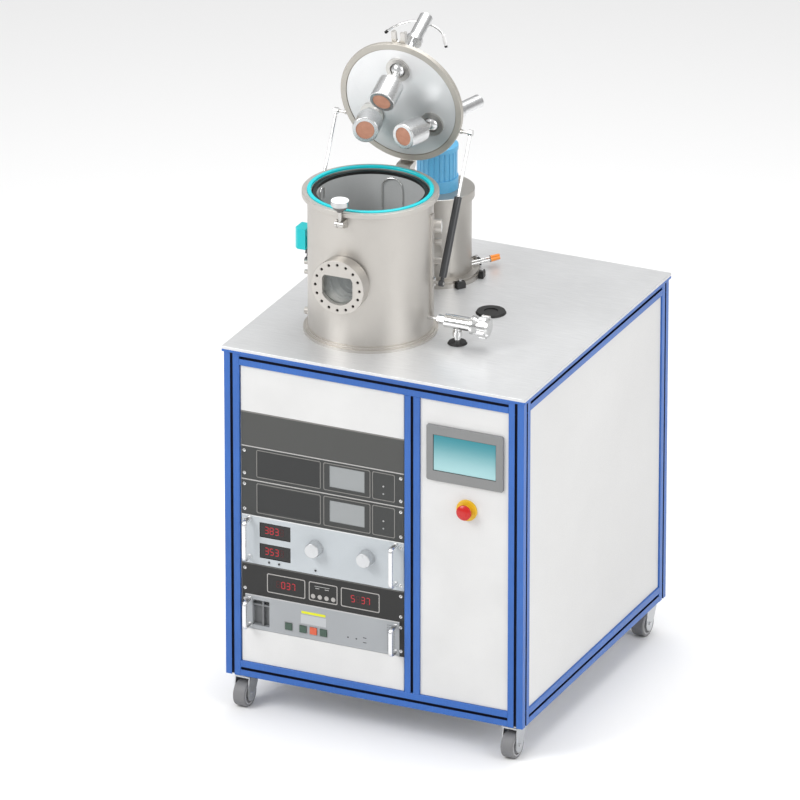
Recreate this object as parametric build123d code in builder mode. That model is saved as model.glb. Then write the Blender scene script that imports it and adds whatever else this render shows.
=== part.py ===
from build123d import *
from math import cos, hypot, radians, sin, sqrt
import os

os.makedirs("parts", exist_ok=True)

# Sputter coater on a wheeled cabinet, in millimetres. The front faces -Y, +X is to the right of
# someone facing it, and the origin is on the floor under the middle of the cabinet.

# Cabinet frame of slotted extrusion
cabinet_width = 885.0
cabinet_depth = 970.0
caster_height = 100.0
frame_top = 1062.0
profile_side = 45.0
profile_corner = 1.5
slot_mouth = 8.2
slot_lip = 2.5
slot_pocket_width = 16.0
slot_pocket_depth = 6.5
profile_bore = 10.0
butt_gap = 0.1
rack_bay_width = 490.0
panel_thickness = 3.0
panel_recess = 5.0
panel_gap = 0.5

# Worktop
worktop_overhang = 5.0
worktop_thickness = 5.0
worktop_lip = 8.0
worktop_corner = 3.0
trim_height = 7.0
touch_gap = 0.3

# Rack units, from the top down: height of each front
rack_panel_width = 482.6
rack_panel_gap = 1.0
rack_chassis_width = 430.0
rack_chassis_depth = 330.0
rack_rail_depth = 28.0
upper_blank_height = 132.0
dark_blank_height = 100.0
upper_supply_height = 98.0
lower_supply_height = 105.0
dc_supply_height = 143.0
gauge_unit_height = 92.0
controller_height = 102.0
front_reach = 40.0
ear_slot_spacing = 465.0
ear_slot_margin = 32.0
ear_slot = (10.0, 7.0)

# Chamber
chamber_x = -135.0
chamber_y = -208.0
chamber_diameter = 340.0
chamber_bore = 318.0
chamber_flange_diameter = 370.0
chamber_flange_thickness = 14.0
chamber_height = 403.0
chamber_base_diameter = 365.0
chamber_base_thickness = 8.0
chamber_step_diameter = 352.0
chamber_step_thickness = 6.0
chamber_floor = 12.0
gasket_outer = 342.0
gasket_inner = 316.0
gasket_groove = 3.0
gasket_stand = 3.7
liner_wall = 2.0
liner_gap = 3.0
liner_rim_width = 10.0
liner_wire = 4.0
table_hole_gap = 1.0

# Sample stage
stage_diameter = 150.0
stage_thickness = 8.0
stage_height = 82.0
stage_shaft = 20.0
stage_drive_height = 110.0
stage_pockets = 4
stage_pocket = 24.0
stage_pocket_depth = 2.0
running_gap = 0.05

# Viewport
viewport_height = 196.0
viewport_flange_diameter = 154.0
viewport_flange_thickness = 20.0
viewport_tube = 108.0
viewport_bolt_circle = 130.2
viewport_bolts_count = 16
viewport_bolt_hole = 8.4
viewport_bolt = 8.0
viewport_window = 100.0
viewport_flat_top = 32.0
viewport_flat_side = 45.0
viewport_glass_thickness = 6.0
viewport_bolt_drop = 2.0
viewport_bolt_grip = 8.0
viewport_hex = 2.6
viewport_hex_depth = 4.0

# Lid, drawn open: the lid turns about the hinge pin behind the chamber
lid_diameter = 358.0
lid_thickness = 14.0
lid_recess_diameter = 325.0
lid_recess = 1.5
lid_open_angle = 80.5
lid_seat = 4.0
hinge_back = 16.5
hinge_drop = 26.0
hinge_pin = 10.0
hinge_barrel = 18.0
hinge_leaf_width = 42.0
hinge_cheek = 16.0

# Sputter guns
gun_circle = 102.0
gun_tilt = 17.0
gun_ball = 44.0
gun_shaft = 20.0
gun_head_diameter = 72.0
gun_head_length = 70.0
gun_reach = 127.0
gun_tail_reach = 196.0
gun_tail_diameter = 38.0
gun_tail_length = 88.0
gun_collar_diameter = 48.0
gun_collar_length = 12.0
gun_collar_drop = 8.0
gun_neck = 30.0
gun_neck_length = 10.0
gun_edge = 2.5
target_stand = 1.5
target_diameter = 50.8
target_thickness = 5.0
port_flange_diameter = 68.0
ball_gap = 0.1

# Gas struts
strut_side = 199.0
strut_foot_y = 23.0
strut_foot_height = 155.0
strut_lid_back = 64.0
strut_cylinder_diameter = 21.0
strut_cylinder_length = 231.0
strut_rod_diameter = 8.0
strut_eye_diameter = 17.0
strut_eye_width = 12.0
strut_stud = 8.0

# Swing clamp
clamp_reach = 194.0
clamp_pivot_drop = 30.0
clamp_bolt = 10.0
clamp_knob_diameter = 50.0
clamp_knob_height = 34.0
clamp_knob_stand = 40.0

# High vacuum valve behind the chamber
valve_y = 222.0
valve_diameter = 190.0
valve_height = 254.0
valve_cap_diameter = 206.0
valve_cap_thickness = 24.0
valve_flange_diameter = 240.0
valve_flange_thickness = 12.0
duct_diameter = 104.0
duct_height = 95.0
actuator_diameter = 117.0
actuator_height = 127.0
turbo_diameter = 190.0
turbo_height = 240.0

# Manual angle valve
manual_valve_height = 61.0
manual_pipe = 12.0
manual_body = 38.0
manual_wheel = 64.0

# Casters
caster_x = 400.0
caster_y = 440.0
caster_wheel_diameter = 75.0
caster_wheel_width = 36.0
caster_trail = 15.0
caster_heading = -92.0
caster_axle = 10.0

# Heights and places that follow from the sizes above
half_width = cabinet_width / 2
half_depth = cabinet_depth / 2
frame_base = caster_height
inner_base = frame_base + profile_side
inner_top = frame_top - profile_side
opening_height = inner_top - inner_base
opening_width = cabinet_width - 2 * profile_side
opening_depth = cabinet_depth - 2 * profile_side
bay_left = -half_width + profile_side
bay_right = bay_left + rack_bay_width
bay_centre = (bay_left + bay_right) / 2
post_centre = bay_right + profile_side / 2
right_bay_left = bay_right + profile_side
right_bay_right = half_width - profile_side
right_bay_width = right_bay_right - right_bay_left
right_bay_centre = (right_bay_left + right_bay_right) / 2
panel_front = half_depth - panel_recess
panel_back = panel_front - panel_thickness
worktop_top = frame_top + worktop_thickness
reach_front = panel_front + front_reach
post_x = half_width - profile_side / 2
post_y = half_depth - profile_side / 2

chamber_base = worktop_top
chamber_top = chamber_base + chamber_height
lid_face_z = chamber_top + lid_seat
hinge_y = chamber_y + chamber_flange_diameter / 2 + hinge_back
hinge_z = lid_face_z - hinge_drop
chamber_radius = chamber_diameter / 2


def rotate_open(y, z):
    """Carries a point of the closed lid about the hinge pin to where the open lid has it."""
    turn = radians(-lid_open_angle)
    away_y = y - hinge_y
    away_z = z - hinge_z
    return (
        hinge_y + away_y * cos(turn) - away_z * sin(turn),
        hinge_z + away_y * sin(turn) + away_z * cos(turn),
    )


lid_y, lid_z = rotate_open(chamber_y, lid_face_z)
lid_plane = Plane(
    origin=(chamber_x, lid_y, lid_z),
    x_dir=(1, 0, 0),
    z_dir=(0, sin(radians(lid_open_angle)), cos(radians(lid_open_angle))),
)


def on_lid(x, y, z):
    """Point in the model of a point in the lid's own frame, whose Z leaves the outer face."""
    return lid_plane.from_local_coords(Vector(x, y, z))


def along_lid(x, y, z):
    """Direction in the model of a direction in the lid's own frame."""
    return on_lid(x, y, z) - on_lid(0, 0, 0)


def front_plane(x, y, z):
    """Sketch plane that faces the front, with its X to the right and its Y upwards."""
    return Plane(origin=(x, y, z), x_dir=(1, 0, 0), z_dir=(0, -1, 0))


def radial_plane(angle, reach, z):
    """Sketch plane square to a ray of the chamber, reach from the chamber's axis."""
    ray_x = cos(radians(angle))
    ray_y = sin(radians(angle))
    return Plane(
        origin=(chamber_x + reach * ray_x, chamber_y + reach * ray_y, z),
        x_dir=(-ray_y, ray_x, 0),
        z_dir=(ray_x, ray_y, 0),
    )


# The slotted extrusion's section: one slot in the middle of each face and a bore
with BuildSketch() as profile:
    RectangleRounded(profile_side, profile_side, profile_corner)
    with PolarLocations(profile_side / 2 - slot_lip / 2, 4):
        Rectangle(slot_lip, slot_mouth, mode=Mode.SUBTRACT)
    with PolarLocations(profile_side / 2 - slot_lip - slot_pocket_depth / 2, 4):
        Trapezoid(slot_pocket_width, slot_pocket_depth, 60, rotation=-90, mode=Mode.SUBTRACT)
    Circle(profile_bore / 2, mode=Mode.SUBTRACT)

# Frame: corner posts, a post between the bays, rails butted between them, and the trim round the top
rail_heights = (frame_base + profile_side / 2, frame_top - profile_side / 2)
trim_top = worktop_top - worktop_lip
rail_length = opening_width - 2 * butt_gap
rail_depth = opening_depth - 2 * butt_gap
with BuildPart() as frame_bars:
    with BuildSketch(Plane.XY.offset(frame_base)):
        with GridLocations(2 * post_x, 2 * post_y, 2, 2):
            add(profile.sketch)
    extrude(amount=frame_top - frame_base)
    with BuildSketch(Plane.XY.offset(inner_base + butt_gap)):
        with Locations((post_centre, -post_y), (post_centre, post_y)):
            add(profile.sketch)
    extrude(amount=opening_height - 2 * butt_gap)
    with BuildSketch(Plane.YZ.offset(-rail_length / 2)):
        with Locations(*[(y, z) for y in (-post_y, post_y) for z in rail_heights]):
            add(profile.sketch)
    extrude(amount=rail_length)
    with BuildSketch(Plane.XZ.offset(-rail_depth / 2)):
        with Locations(*[(x, z) for x in (-post_x, post_x) for z in rail_heights]):
            add(profile.sketch)
    extrude(amount=rail_depth)
    with BuildSketch(Plane.XY.offset(trim_top - trim_height)):
        RectangleRounded(
            cabinet_width + 2 * worktop_overhang,
            cabinet_depth + 2 * worktop_overhang,
            worktop_corner,
        )
        Rectangle(cabinet_width + 2 * butt_gap, cabinet_depth + 2 * butt_gap, mode=Mode.SUBTRACT)
    extrude(amount=trim_height)
# Stainless worktop with its folded lip and the holes for the pump, the stage and the grommets
small_grommet = (122.0, chamber_y)
big_grommet = (116.0, 25.0)
small_grommet_diameter = 54.0
big_grommet_diameter = 84.0
grommet_hole_share = 0.7
pump_hole = turbo_diameter + 2 * table_hole_gap
stage_drive_diameter = 60.0
with BuildPart() as worktop:
    with BuildSketch(Plane.XY.offset(frame_top)):
        RectangleRounded(
            cabinet_width + 2 * worktop_overhang,
            cabinet_depth + 2 * worktop_overhang,
            worktop_corner,
        )
    extrude(amount=worktop_thickness)
    with BuildSketch(Plane.XY.offset(trim_top)):
        RectangleRounded(
            cabinet_width + 2 * worktop_overhang,
            cabinet_depth + 2 * worktop_overhang,
            worktop_corner,
        )
        Rectangle(cabinet_width, cabinet_depth, mode=Mode.SUBTRACT)
    extrude(amount=frame_top - trim_top)
    top_edges = worktop.faces().sort_by(Axis.Z)[-1].edges()
    fillet(top_edges, 1.5)
    with BuildSketch(Plane.XY.offset(worktop_top)):
        with Locations((chamber_x, valve_y)):
            Circle(pump_hole / 2)
        with Locations((chamber_x, chamber_y)):
            Circle(stage_drive_diameter / 2 + table_hole_gap)
        with Locations(small_grommet):
            Circle(small_grommet_diameter / 2 * grommet_hole_share)
        with Locations(big_grommet):
            Circle(big_grommet_diameter / 2 * grommet_hole_share)
    extrude(amount=-worktop_thickness, mode=Mode.SUBTRACT)
worktop.part.label = "worktop"
export_step(worktop.part, "parts/worktop.step")

# Sheet panels at the sides and the base, each inside its opening of the frame
with BuildPart() as plain_panels:
    for side in (-1, 1):
        with BuildSketch(Plane.YZ.offset(side * (half_width - panel_recess - panel_thickness / 2))):
            with Locations((0, (inner_base + inner_top) / 2)):
                Rectangle(opening_depth - 2 * panel_gap, opening_height - 2 * panel_gap)
        extrude(amount=panel_thickness / 2, both=True)
    with BuildSketch(Plane.XY.offset(frame_base + panel_recess)):
        Rectangle(opening_width - 2 * panel_gap, opening_depth - 2 * panel_gap)
    extrude(amount=panel_thickness)

# Rear panels, one in each rear bay: air slots, the roughing port and the mains inlet
slot_rows = 9
slot_pitch = 16.0
slot_length = 150.0
slot_width = 5.0
slot_spread = 1.3 * slot_length
upper_slots_drop = 96.0
lower_slots_height = 330.0
roughing_height = 300.0
roughing_bore = 25.0
roughing_tube = 30.0
roughing_flange = 40.0
inlet_width = 48.0
inlet_height = 28.0
inlet_frame = 8.0
inlet_lip = 3.0
inlet_stand = 2.0
inlet_depth = 20.0
with BuildPart() as rear_panels:
    with BuildSketch(Plane.XZ.offset(-panel_front)):
        with Locations((bay_centre, (inner_base + inner_top) / 2)):
            Rectangle(rack_bay_width - 2 * panel_gap, opening_height - 2 * panel_gap)
        with Locations((right_bay_centre, (inner_base + inner_top) / 2)):
            Rectangle(right_bay_width - 2 * panel_gap, opening_height - 2 * panel_gap)
        with Locations(
            (bay_centre, inner_top - upper_slots_drop), (bay_centre, inner_base + lower_slots_height)
        ):
            with GridLocations(slot_spread, slot_pitch, 2, slot_rows):
                SlotOverall(slot_length, slot_width, mode=Mode.SUBTRACT)
        with Locations((chamber_x, roughing_height)):
            Circle(roughing_tube / 2 + touch_gap, mode=Mode.SUBTRACT)
        with Locations((right_bay_centre, roughing_height)):
            Rectangle(inlet_width, inlet_height, mode=Mode.SUBTRACT)
    extrude(amount=panel_thickness)
    with BuildSketch(Plane.XZ.offset(-panel_front - inlet_stand)):
        with Locations((right_bay_centre, roughing_height)):
            Rectangle(inlet_width + 2 * inlet_frame, inlet_height + 2 * inlet_frame)
            Rectangle(inlet_width - 2 * inlet_lip, inlet_height - 2 * inlet_lip, mode=Mode.SUBTRACT)
    extrude(amount=panel_thickness + inlet_stand + inlet_depth)

with BuildPart() as cabinet_panels:
    add(plain_panels.part)
    add(rear_panels.part)
cabinet_panels.part.label = "cabinet_panels"
export_step(cabinet_panels.part, "parts/cabinet_panels.step")

# Rack rails: an angle behind each side of the rack bay that the ears are screwed to
rail_flange = 22.0
rail_wall = 2.0
rack_rail_front = panel_back - touch_gap
with BuildPart() as rack_rails:
    for side in (-1, 1):
        edge = bay_centre + side * (rack_bay_width / 2 - touch_gap)
        with BuildSketch(Plane.XY.offset(inner_base + touch_gap)):
            with Locations((edge - side * rail_flange / 2, -rack_rail_front + rail_wall / 2)):
                Rectangle(rail_flange, rail_wall)
            with Locations((edge - side * rail_wall / 2, -rack_rail_front + rack_rail_depth / 2)):
                Rectangle(rail_wall, rack_rail_depth)
        extrude(amount=opening_height - 2 * touch_gap)

with BuildPart() as cabinet_frame:
    add(frame_bars.part)
    add(rack_rails.part)
cabinet_frame.part.label = "cabinet_frame"
export_step(cabinet_frame.part, "parts/cabinet_frame.step")

# Where each rack front starts, from the top of the bay down
fronts = [
    ("upper_blank", upper_blank_height),
    ("dark_blank", dark_blank_height),
    ("upper_supply", upper_supply_height),
    ("lower_supply", lower_supply_height),
    ("dc_supply", dc_supply_height),
    ("gauge_unit", gauge_unit_height),
    ("controller", controller_height),
]
tops = {}
next_top = inner_top
for front_name, front_height in fronts:
    tops[front_name] = next_top
    next_top -= front_height
lower_blank_height = next_top - inner_base
tops["lower_blank"] = next_top


def centre_of(front_name, front_height):
    """Height of the middle of a rack front."""
    return tops[front_name] - front_height / 2


def rack_front(front_height):
    """Sketch of one rack front about its middle, with its four ear slots."""
    with BuildSketch() as outline:
        Rectangle(rack_panel_width, front_height - rack_panel_gap)
        with GridLocations(ear_slot_spacing, front_height - ear_slot_margin, 2, 2):
            SlotOverall(*ear_slot, mode=Mode.SUBTRACT)
    return outline.sketch


blanks = (
    ("upper_blank", upper_blank_height),
    ("dark_blank", dark_blank_height),
    ("lower_blank", lower_blank_height),
)
with BuildPart() as rack_blanks:
    for blank_name, blank_height in blanks:
        middle = centre_of(blank_name, blank_height)
        with BuildSketch(front_plane(bay_centre, -panel_back, middle)):
            Rectangle(rack_panel_width, blank_height - rack_panel_gap)
        extrude(amount=panel_thickness)

# The two dark supplies: the same front twice, with three framed fields and a screen
frame_line = 2.5
frame_corner = 5.0
frame_stand = 0.8
field_margin = 17.0
chassis_margin = 6.0
fields = ((-100.6, 191.8), (73.0, 139.8), (181.7, 67.4))
supply_screen = (102.8, 61.0)
supply_screen_place = (73.0, 2.0)
supply_screen_depth = 1.0
supply_lamps = ((181.0, 1.0), (181.0, -21.0))
supply_lamp = 5.0
with BuildPart() as power_supplies:
    for unit, unit_height in (("upper_supply", upper_supply_height), ("lower_supply", lower_supply_height)):
        middle = centre_of(unit, unit_height)
        with BuildSketch(front_plane(bay_centre, -panel_back, middle)):
            add(rack_front(unit_height))
        extrude(amount=panel_thickness)
        with BuildSketch(front_plane(bay_centre, -panel_front, middle)):
            for field_x, field_width in fields:
                with Locations((field_x, 0)):
                    RectangleRounded(field_width, unit_height - field_margin, frame_corner)
                    RectangleRounded(
                        field_width - 2 * frame_line,
                        unit_height - field_margin - 2 * frame_line,
                        frame_corner - 1.0,
                        mode=Mode.SUBTRACT,
                    )
            with Locations(*supply_lamps):
                Circle(supply_lamp / 2)
        extrude(amount=frame_stand)
        with BuildSketch(front_plane(bay_centre, -panel_front, middle)):
            with Locations(supply_screen_place):
                Rectangle(*supply_screen)
        extrude(amount=-supply_screen_depth, mode=Mode.SUBTRACT)
        with BuildSketch(front_plane(bay_centre, -panel_back, middle)):
            Rectangle(rack_chassis_width, unit_height - chassis_margin)
        extrude(amount=-rack_chassis_depth)
power_supplies.part.label = "power_supplies"
export_step(power_supplies.part, "parts/power_supplies.step")

# Silver supply: two display windows, two knob shafts, ventilated cover
dc_middle = centre_of("dc_supply", dc_supply_height)
dc_window_x = -142.0
dc_window_size = (92.0, 43.0)
dc_window_rows = (32.8, -28.8)
dc_window_depth = 2.0
dc_jacks = ((-160.0, -60.0), (-130.0, -60.0), (-21.0, -58.0))
dc_jack = 6.0
knob_places = ((-21.0, 9.0), (132.0, 9.0))
knob_shaft = 6.0
knob_diameter = 45.0
knob_height = 28.0
knob_stand = 1.0
knob_cover = 6.0
with BuildPart() as dc_supply:
    with BuildSketch(front_plane(bay_centre, -panel_back, dc_middle)):
        add(rack_front(dc_supply_height))
    extrude(amount=panel_thickness)
    with BuildSketch(front_plane(bay_centre, -panel_back, dc_middle)):
        Rectangle(rack_chassis_width, dc_supply_height - chassis_margin)
    extrude(amount=-rack_chassis_depth)
    with BuildSketch(front_plane(bay_centre, -panel_front, dc_middle)):
        with Locations(*[(dc_window_x, row) for row in dc_window_rows]):
            RectangleRounded(*dc_window_size, 2.0)
    extrude(amount=-dc_window_depth, mode=Mode.SUBTRACT)
    with BuildSketch(front_plane(bay_centre, -panel_front, dc_middle)):
        with Locations(*knob_places):
            Circle(knob_shaft / 2)
    extrude(amount=knob_height - knob_cover)
    with BuildSketch(front_plane(bay_centre, -panel_front, dc_middle)):
        with Locations(*dc_jacks):
            Circle(dc_jack / 2)
    extrude(amount=dc_window_depth)
dc_supply.part.label = "dc_supply"
export_step(dc_supply.part, "parts/dc_supply.step")

# Its two knobs: a skirted disc with a pointer line and a bore that turns on the shaft
knob_pointer = (2.0, 8.0)
knob_pointer_depth = 0.8
for number, (knob_x, knob_z) in enumerate(knob_places, start=1):
    with BuildPart() as knob:
        knob_base = front_plane(bay_centre + knob_x, -panel_front, dc_middle + knob_z)
        with BuildSketch(knob_base.offset(knob_stand)):
            Circle(knob_diameter / 2)
        extrude(amount=knob_height - knob_stand, taper=4)
        outer_rim = knob.faces().sort_by(Axis.Y)[0].edges()
        fillet(outer_rim, 2.5)
        with BuildSketch(knob_base.offset(knob_height)):
            with Locations((0, knob_diameter / 2 - knob_pointer[1])):
                Rectangle(*knob_pointer)
        extrude(amount=-knob_pointer_depth, mode=Mode.SUBTRACT)
        with BuildSketch(knob_base):
            Circle(knob_shaft / 2 + running_gap)
        extrude(amount=knob_height - knob_cover + touch_gap, mode=Mode.SUBTRACT)
    knob.part.label = f"supply_knob_{number}"
    export_step(knob.part, f"parts/supply_knob_{number}.step")

# Gauge unit: display and keypad frames on a black front
gauge_middle = centre_of("gauge_unit", gauge_unit_height)
gauge_fields = ((-109.2, 114.6), (1.4, 85.6), (112.0, 115.3))
gauge_field_height = 56.0
gauge_field_z = -3.0
gauge_key = 13.0
gauge_key_pitch = 20.0
gauge_key_z = -17.5
with BuildPart() as gauge_unit:
    with BuildSketch(front_plane(bay_centre, -panel_back, gauge_middle)):
        add(rack_front(gauge_unit_height))
    extrude(amount=panel_thickness)
    with BuildSketch(front_plane(bay_centre, -panel_back, gauge_middle)):
        Rectangle(rack_chassis_width, gauge_unit_height - chassis_margin)
    extrude(amount=-rack_chassis_depth)
    with BuildSketch(front_plane(bay_centre, -panel_front, gauge_middle)):
        for field_x, field_width in gauge_fields:
            with Locations((field_x, gauge_field_z)):
                RectangleRounded(field_width, gauge_field_height, frame_corner)
                RectangleRounded(
                    field_width - 2 * frame_line,
                    gauge_field_height - 2 * frame_line,
                    frame_corner - 1.0,
                    mode=Mode.SUBTRACT,
                )
        with Locations((gauge_fields[1][0], gauge_key_z)):
            with GridLocations(gauge_key_pitch, gauge_key_pitch, 4, 1):
                Circle(gauge_key / 2)
    extrude(amount=frame_stand)
gauge_unit.part.label = "gauge_unit"
export_step(gauge_unit.part, "parts/gauge_unit.step")

# Pump and valve controller: a latch recess, four lit buttons in wells, a vent field
control_middle = centre_of("controller", controller_height)
button_side = 20.6
button_well = 22.0
button_rim = 2.0
button_travel = 3.0
button_stand = 3.0
button_places = ((-102.0, -24.0), (-59.0, -24.0), (-28.0, -24.0), (2.0, -24.0))
latch_place = (-185.5, -1.0)
latch_size = (51.0, 75.0)
latch_bar = 5.0
latch_bar_drop = 15.0
latch_post_x = -180.6
well_depth = 14.0
vent_place = (203.5, -2.5)
vent_slot = (5.0, 2.6)
vent_pitch = (6.5, 7.7)
vent_grid = (4, 11)
vent_depth = 2.0
with BuildPart() as valve_controller:
    with BuildSketch(front_plane(bay_centre, -panel_back, control_middle)):
        add(rack_front(controller_height))
    extrude(amount=panel_thickness)
    with BuildSketch(front_plane(bay_centre, -panel_back, control_middle)):
        Rectangle(rack_chassis_width, controller_height - chassis_margin)
    extrude(amount=-rack_chassis_depth)
    with BuildSketch(front_plane(bay_centre, -panel_front, control_middle)):
        with Locations(*button_places):
            RectangleRounded(button_well, button_well, 1.5)
        with Locations(latch_place):
            RectangleRounded(*latch_size, 2.0)
    extrude(amount=-well_depth, mode=Mode.SUBTRACT)
    with BuildSketch(front_plane(bay_centre, -panel_front, control_middle)):
        with Locations(*button_places):
            RectangleRounded(button_well + 2 * button_rim, button_well + 2 * button_rim, 2.0)
            RectangleRounded(button_well, button_well, 1.5, mode=Mode.SUBTRACT)
    extrude(amount=frame_stand)
    # A post and a crossbar stand in the latch recess
    with BuildSketch(front_plane(bay_centre, -panel_front + well_depth, control_middle)):
        with Locations((latch_post_x, latch_place[1])):
            Rectangle(latch_bar, latch_size[1])
        with Locations((latch_place[0], latch_place[1] + latch_size[1] / 2 - latch_bar_drop)):
            Rectangle(latch_size[0], latch_bar)
    extrude(amount=well_depth - panel_thickness)
    with BuildSketch(front_plane(bay_centre, -panel_front, control_middle)):
        with Locations(vent_place):
            with GridLocations(*vent_pitch, *vent_grid):
                Rectangle(*vent_slot)
    extrude(amount=-vent_depth, mode=Mode.SUBTRACT)
valve_controller.part.label = "valve_controller"
export_step(valve_controller.part, "parts/valve_controller.step")

# Each lit button: a square cap on a plunger that travels in its well
for number, (button_x, button_z) in enumerate(button_places, start=1):
    with BuildPart() as button:
        button_face = front_plane(bay_centre + button_x, -panel_front, control_middle + button_z)
        cap_depth = well_depth + button_stand - button_travel - touch_gap
        with BuildSketch(button_face.offset(button_stand)):
            RectangleRounded(button_side, button_side, 1.2)
        extrude(amount=-cap_depth)
        front_edges = button.faces().sort_by(Axis.Y)[0].edges()
        fillet(front_edges, 0.8)
    button.part.label = f"controller_button_{number}"
    export_step(button.part, f"parts/controller_button_{number}.step")

# Bow handles of the silver supply and the controller, bent from a bar with rounded sides
handle_bar = 9.0
handle_bar_width = 12.0
handle_bend = 11.0
handle_x = 218.0
handle_foot = 13.0
handle_foot_stand = 2.5
dc_handle_lift = 5.0
dc_handle_margin = 30.0
controller_handle_margin = 26.0
handles = (
    (-handle_x, dc_middle + dc_handle_lift, dc_supply_height - dc_handle_margin),
    (handle_x, dc_middle + dc_handle_lift, dc_supply_height - dc_handle_margin),
    (-handle_x, control_middle, controller_height - controller_handle_margin),
    (handle_x, control_middle, controller_height - controller_handle_margin),
)
handle_line = -reach_front + handle_bar / 2
with BuildPart() as rack_handles:
    for handle_offset, handle_middle, handle_span in handles:
        bar_x = bay_centre + handle_offset
        low = handle_middle - handle_span / 2
        high = handle_middle + handle_span / 2
        with BuildLine() as bow:
            FilletPolyline(
                (bar_x, -panel_front, low),
                (bar_x, handle_line, low),
                (bar_x, handle_line, high),
                (bar_x, -panel_front, high),
                radius=handle_bend,
            )
        with BuildSketch(front_plane(bar_x, -panel_front, low)):
            RectangleRounded(handle_bar_width, handle_bar, handle_bar / 2 - 0.5)
        sweep(path=bow.line)
        with BuildSketch(front_plane(bar_x, -panel_front, 0)):
            with Locations((0, low), (0, high)):
                Circle(handle_foot / 2)
        extrude(amount=handle_foot_stand)
rack_handles.part.label = "rack_handles"
export_step(rack_handles.part, "parts/rack_handles.step")

# Control bay: a sheet front with the touchscreen and the emergency stop
screen_width = 225.6
screen_height = 161.0
screen_x = 270.5
screen_z = 865.5
screen_stand = 8.0
screen_glass = (184.0, 104.0)
screen_back = 45.0
screen_margin = 12.0
screen_corner = 6.0
screen_edge = 2.5
screen_glass_drop = 1.6
screen_glass_lift = 2.0
stop_x = 275.0
stop_z = 713.0
stop_hole = 22.0
with BuildPart() as control_panel:
    with BuildSketch(Plane.XZ.offset(panel_back)):
        with Locations((right_bay_centre, (inner_base + inner_top) / 2)):
            Rectangle(right_bay_width - 2 * panel_gap, opening_height - 2 * panel_gap)
        with Locations((screen_x, screen_z)):
            Rectangle(
                screen_width - 2 * screen_margin, screen_height - 2 * screen_margin, mode=Mode.SUBTRACT
            )
        with Locations((stop_x, stop_z)):
            Circle(stop_hole / 2 + touch_gap, mode=Mode.SUBTRACT)
    extrude(amount=panel_thickness)

with BuildPart() as front_panels:
    add(rack_blanks.part)
    add(control_panel.part)
front_panels.part.label = "front_panels"
export_step(front_panels.part, "parts/front_panels.step")

with BuildPart() as touchscreen:
    with BuildSketch(front_plane(screen_x, -panel_front, screen_z)):
        RectangleRounded(screen_width, screen_height, screen_corner)
    extrude(amount=screen_stand)
    bezel_edges = touchscreen.faces().sort_by(Axis.Y)[0].edges()
    fillet(bezel_edges, screen_edge)
    with BuildSketch(front_plane(screen_x, -panel_front - screen_stand, screen_z + screen_glass_lift)):
        Rectangle(*screen_glass)
    extrude(amount=-screen_glass_drop, mode=Mode.SUBTRACT)
    with BuildSketch(front_plane(screen_x, -panel_front, screen_z)):
        Rectangle(
            screen_width - 2 * screen_margin - 2 * touch_gap,
            screen_height - 2 * screen_margin - 2 * touch_gap,
        )
    extrude(amount=-screen_back)
touchscreen.part.label = "touchscreen"
export_step(touchscreen.part, "parts/touchscreen.step")

# Emergency stop: a yellow collar with its barrel, and the red mushroom that is pushed
stop_collar = 60.0
stop_collar_height = 4.0
stop_barrel = 45.0
stop_bore = 16.0
stop_head = 42.0
stop_head_gap = 7.0
stop_seat = 2.0
stop_seat_margin = 3.0
stop_floor = 6.0
stop_neck = 11.0
stop_flare = 5.0
stop_shoulder = 11.0
stop_dome = 15.0
stop_face = 17.0
with BuildPart() as estop_collar:
    with BuildSketch(front_plane(stop_x, -panel_front, stop_z)):
        Circle(stop_collar / 2)
    extrude(amount=stop_collar_height)
    with BuildSketch(front_plane(stop_x, -panel_front, stop_z)):
        Circle(stop_hole / 2)
    extrude(amount=-stop_barrel)
    with BuildSketch(front_plane(stop_x, -panel_front - stop_collar_height, stop_z)):
        Circle(stop_hole / 2 + stop_seat_margin)
    extrude(amount=stop_seat)
    with BuildSketch(front_plane(stop_x, -panel_front - stop_collar_height - stop_seat, stop_z)):
        Circle(stop_bore / 2)
    extrude(amount=-stop_barrel + stop_floor, mode=Mode.SUBTRACT)
estop_collar.part.label = "estop_collar"
export_step(estop_collar.part, "parts/estop_collar.step")

stop_head_back = panel_front + stop_collar_height + stop_seat + stop_head_gap
with BuildPart() as estop_button:
    with BuildSketch(Plane.YZ.offset(stop_x)) as stop_half:
        with BuildLine():
            Polyline(
                (-stop_head_back, stop_z),
                (-stop_head_back, stop_z + stop_neck),
                (-stop_head_back - stop_flare, stop_z + stop_head / 2),
                (-stop_head_back - stop_shoulder, stop_z + stop_head / 2),
            )
            ThreePointArc(
                (-stop_head_back - stop_shoulder, stop_z + stop_head / 2),
                (-stop_head_back - stop_dome, stop_z + stop_head / 3),
                (-stop_head_back - stop_face, stop_z + stop_flare),
            )
            Polyline(
                (-stop_head_back - stop_face, stop_z + stop_flare),
                (-stop_head_back - stop_face, stop_z),
                (-stop_head_back, stop_z),
            )
        make_face()
    revolve(axis=Axis((stop_x, 0, stop_z), (0, 1, 0)))
    with BuildSketch(front_plane(stop_x, -stop_head_back, stop_z)):
        Circle(stop_bore / 2 - running_gap)
    extrude(amount=-(stop_head_gap + stop_barrel - 2 * stop_floor))
estop_button.part.label = "estop_button"
export_step(estop_button.part, "parts/estop_button.step")

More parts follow.
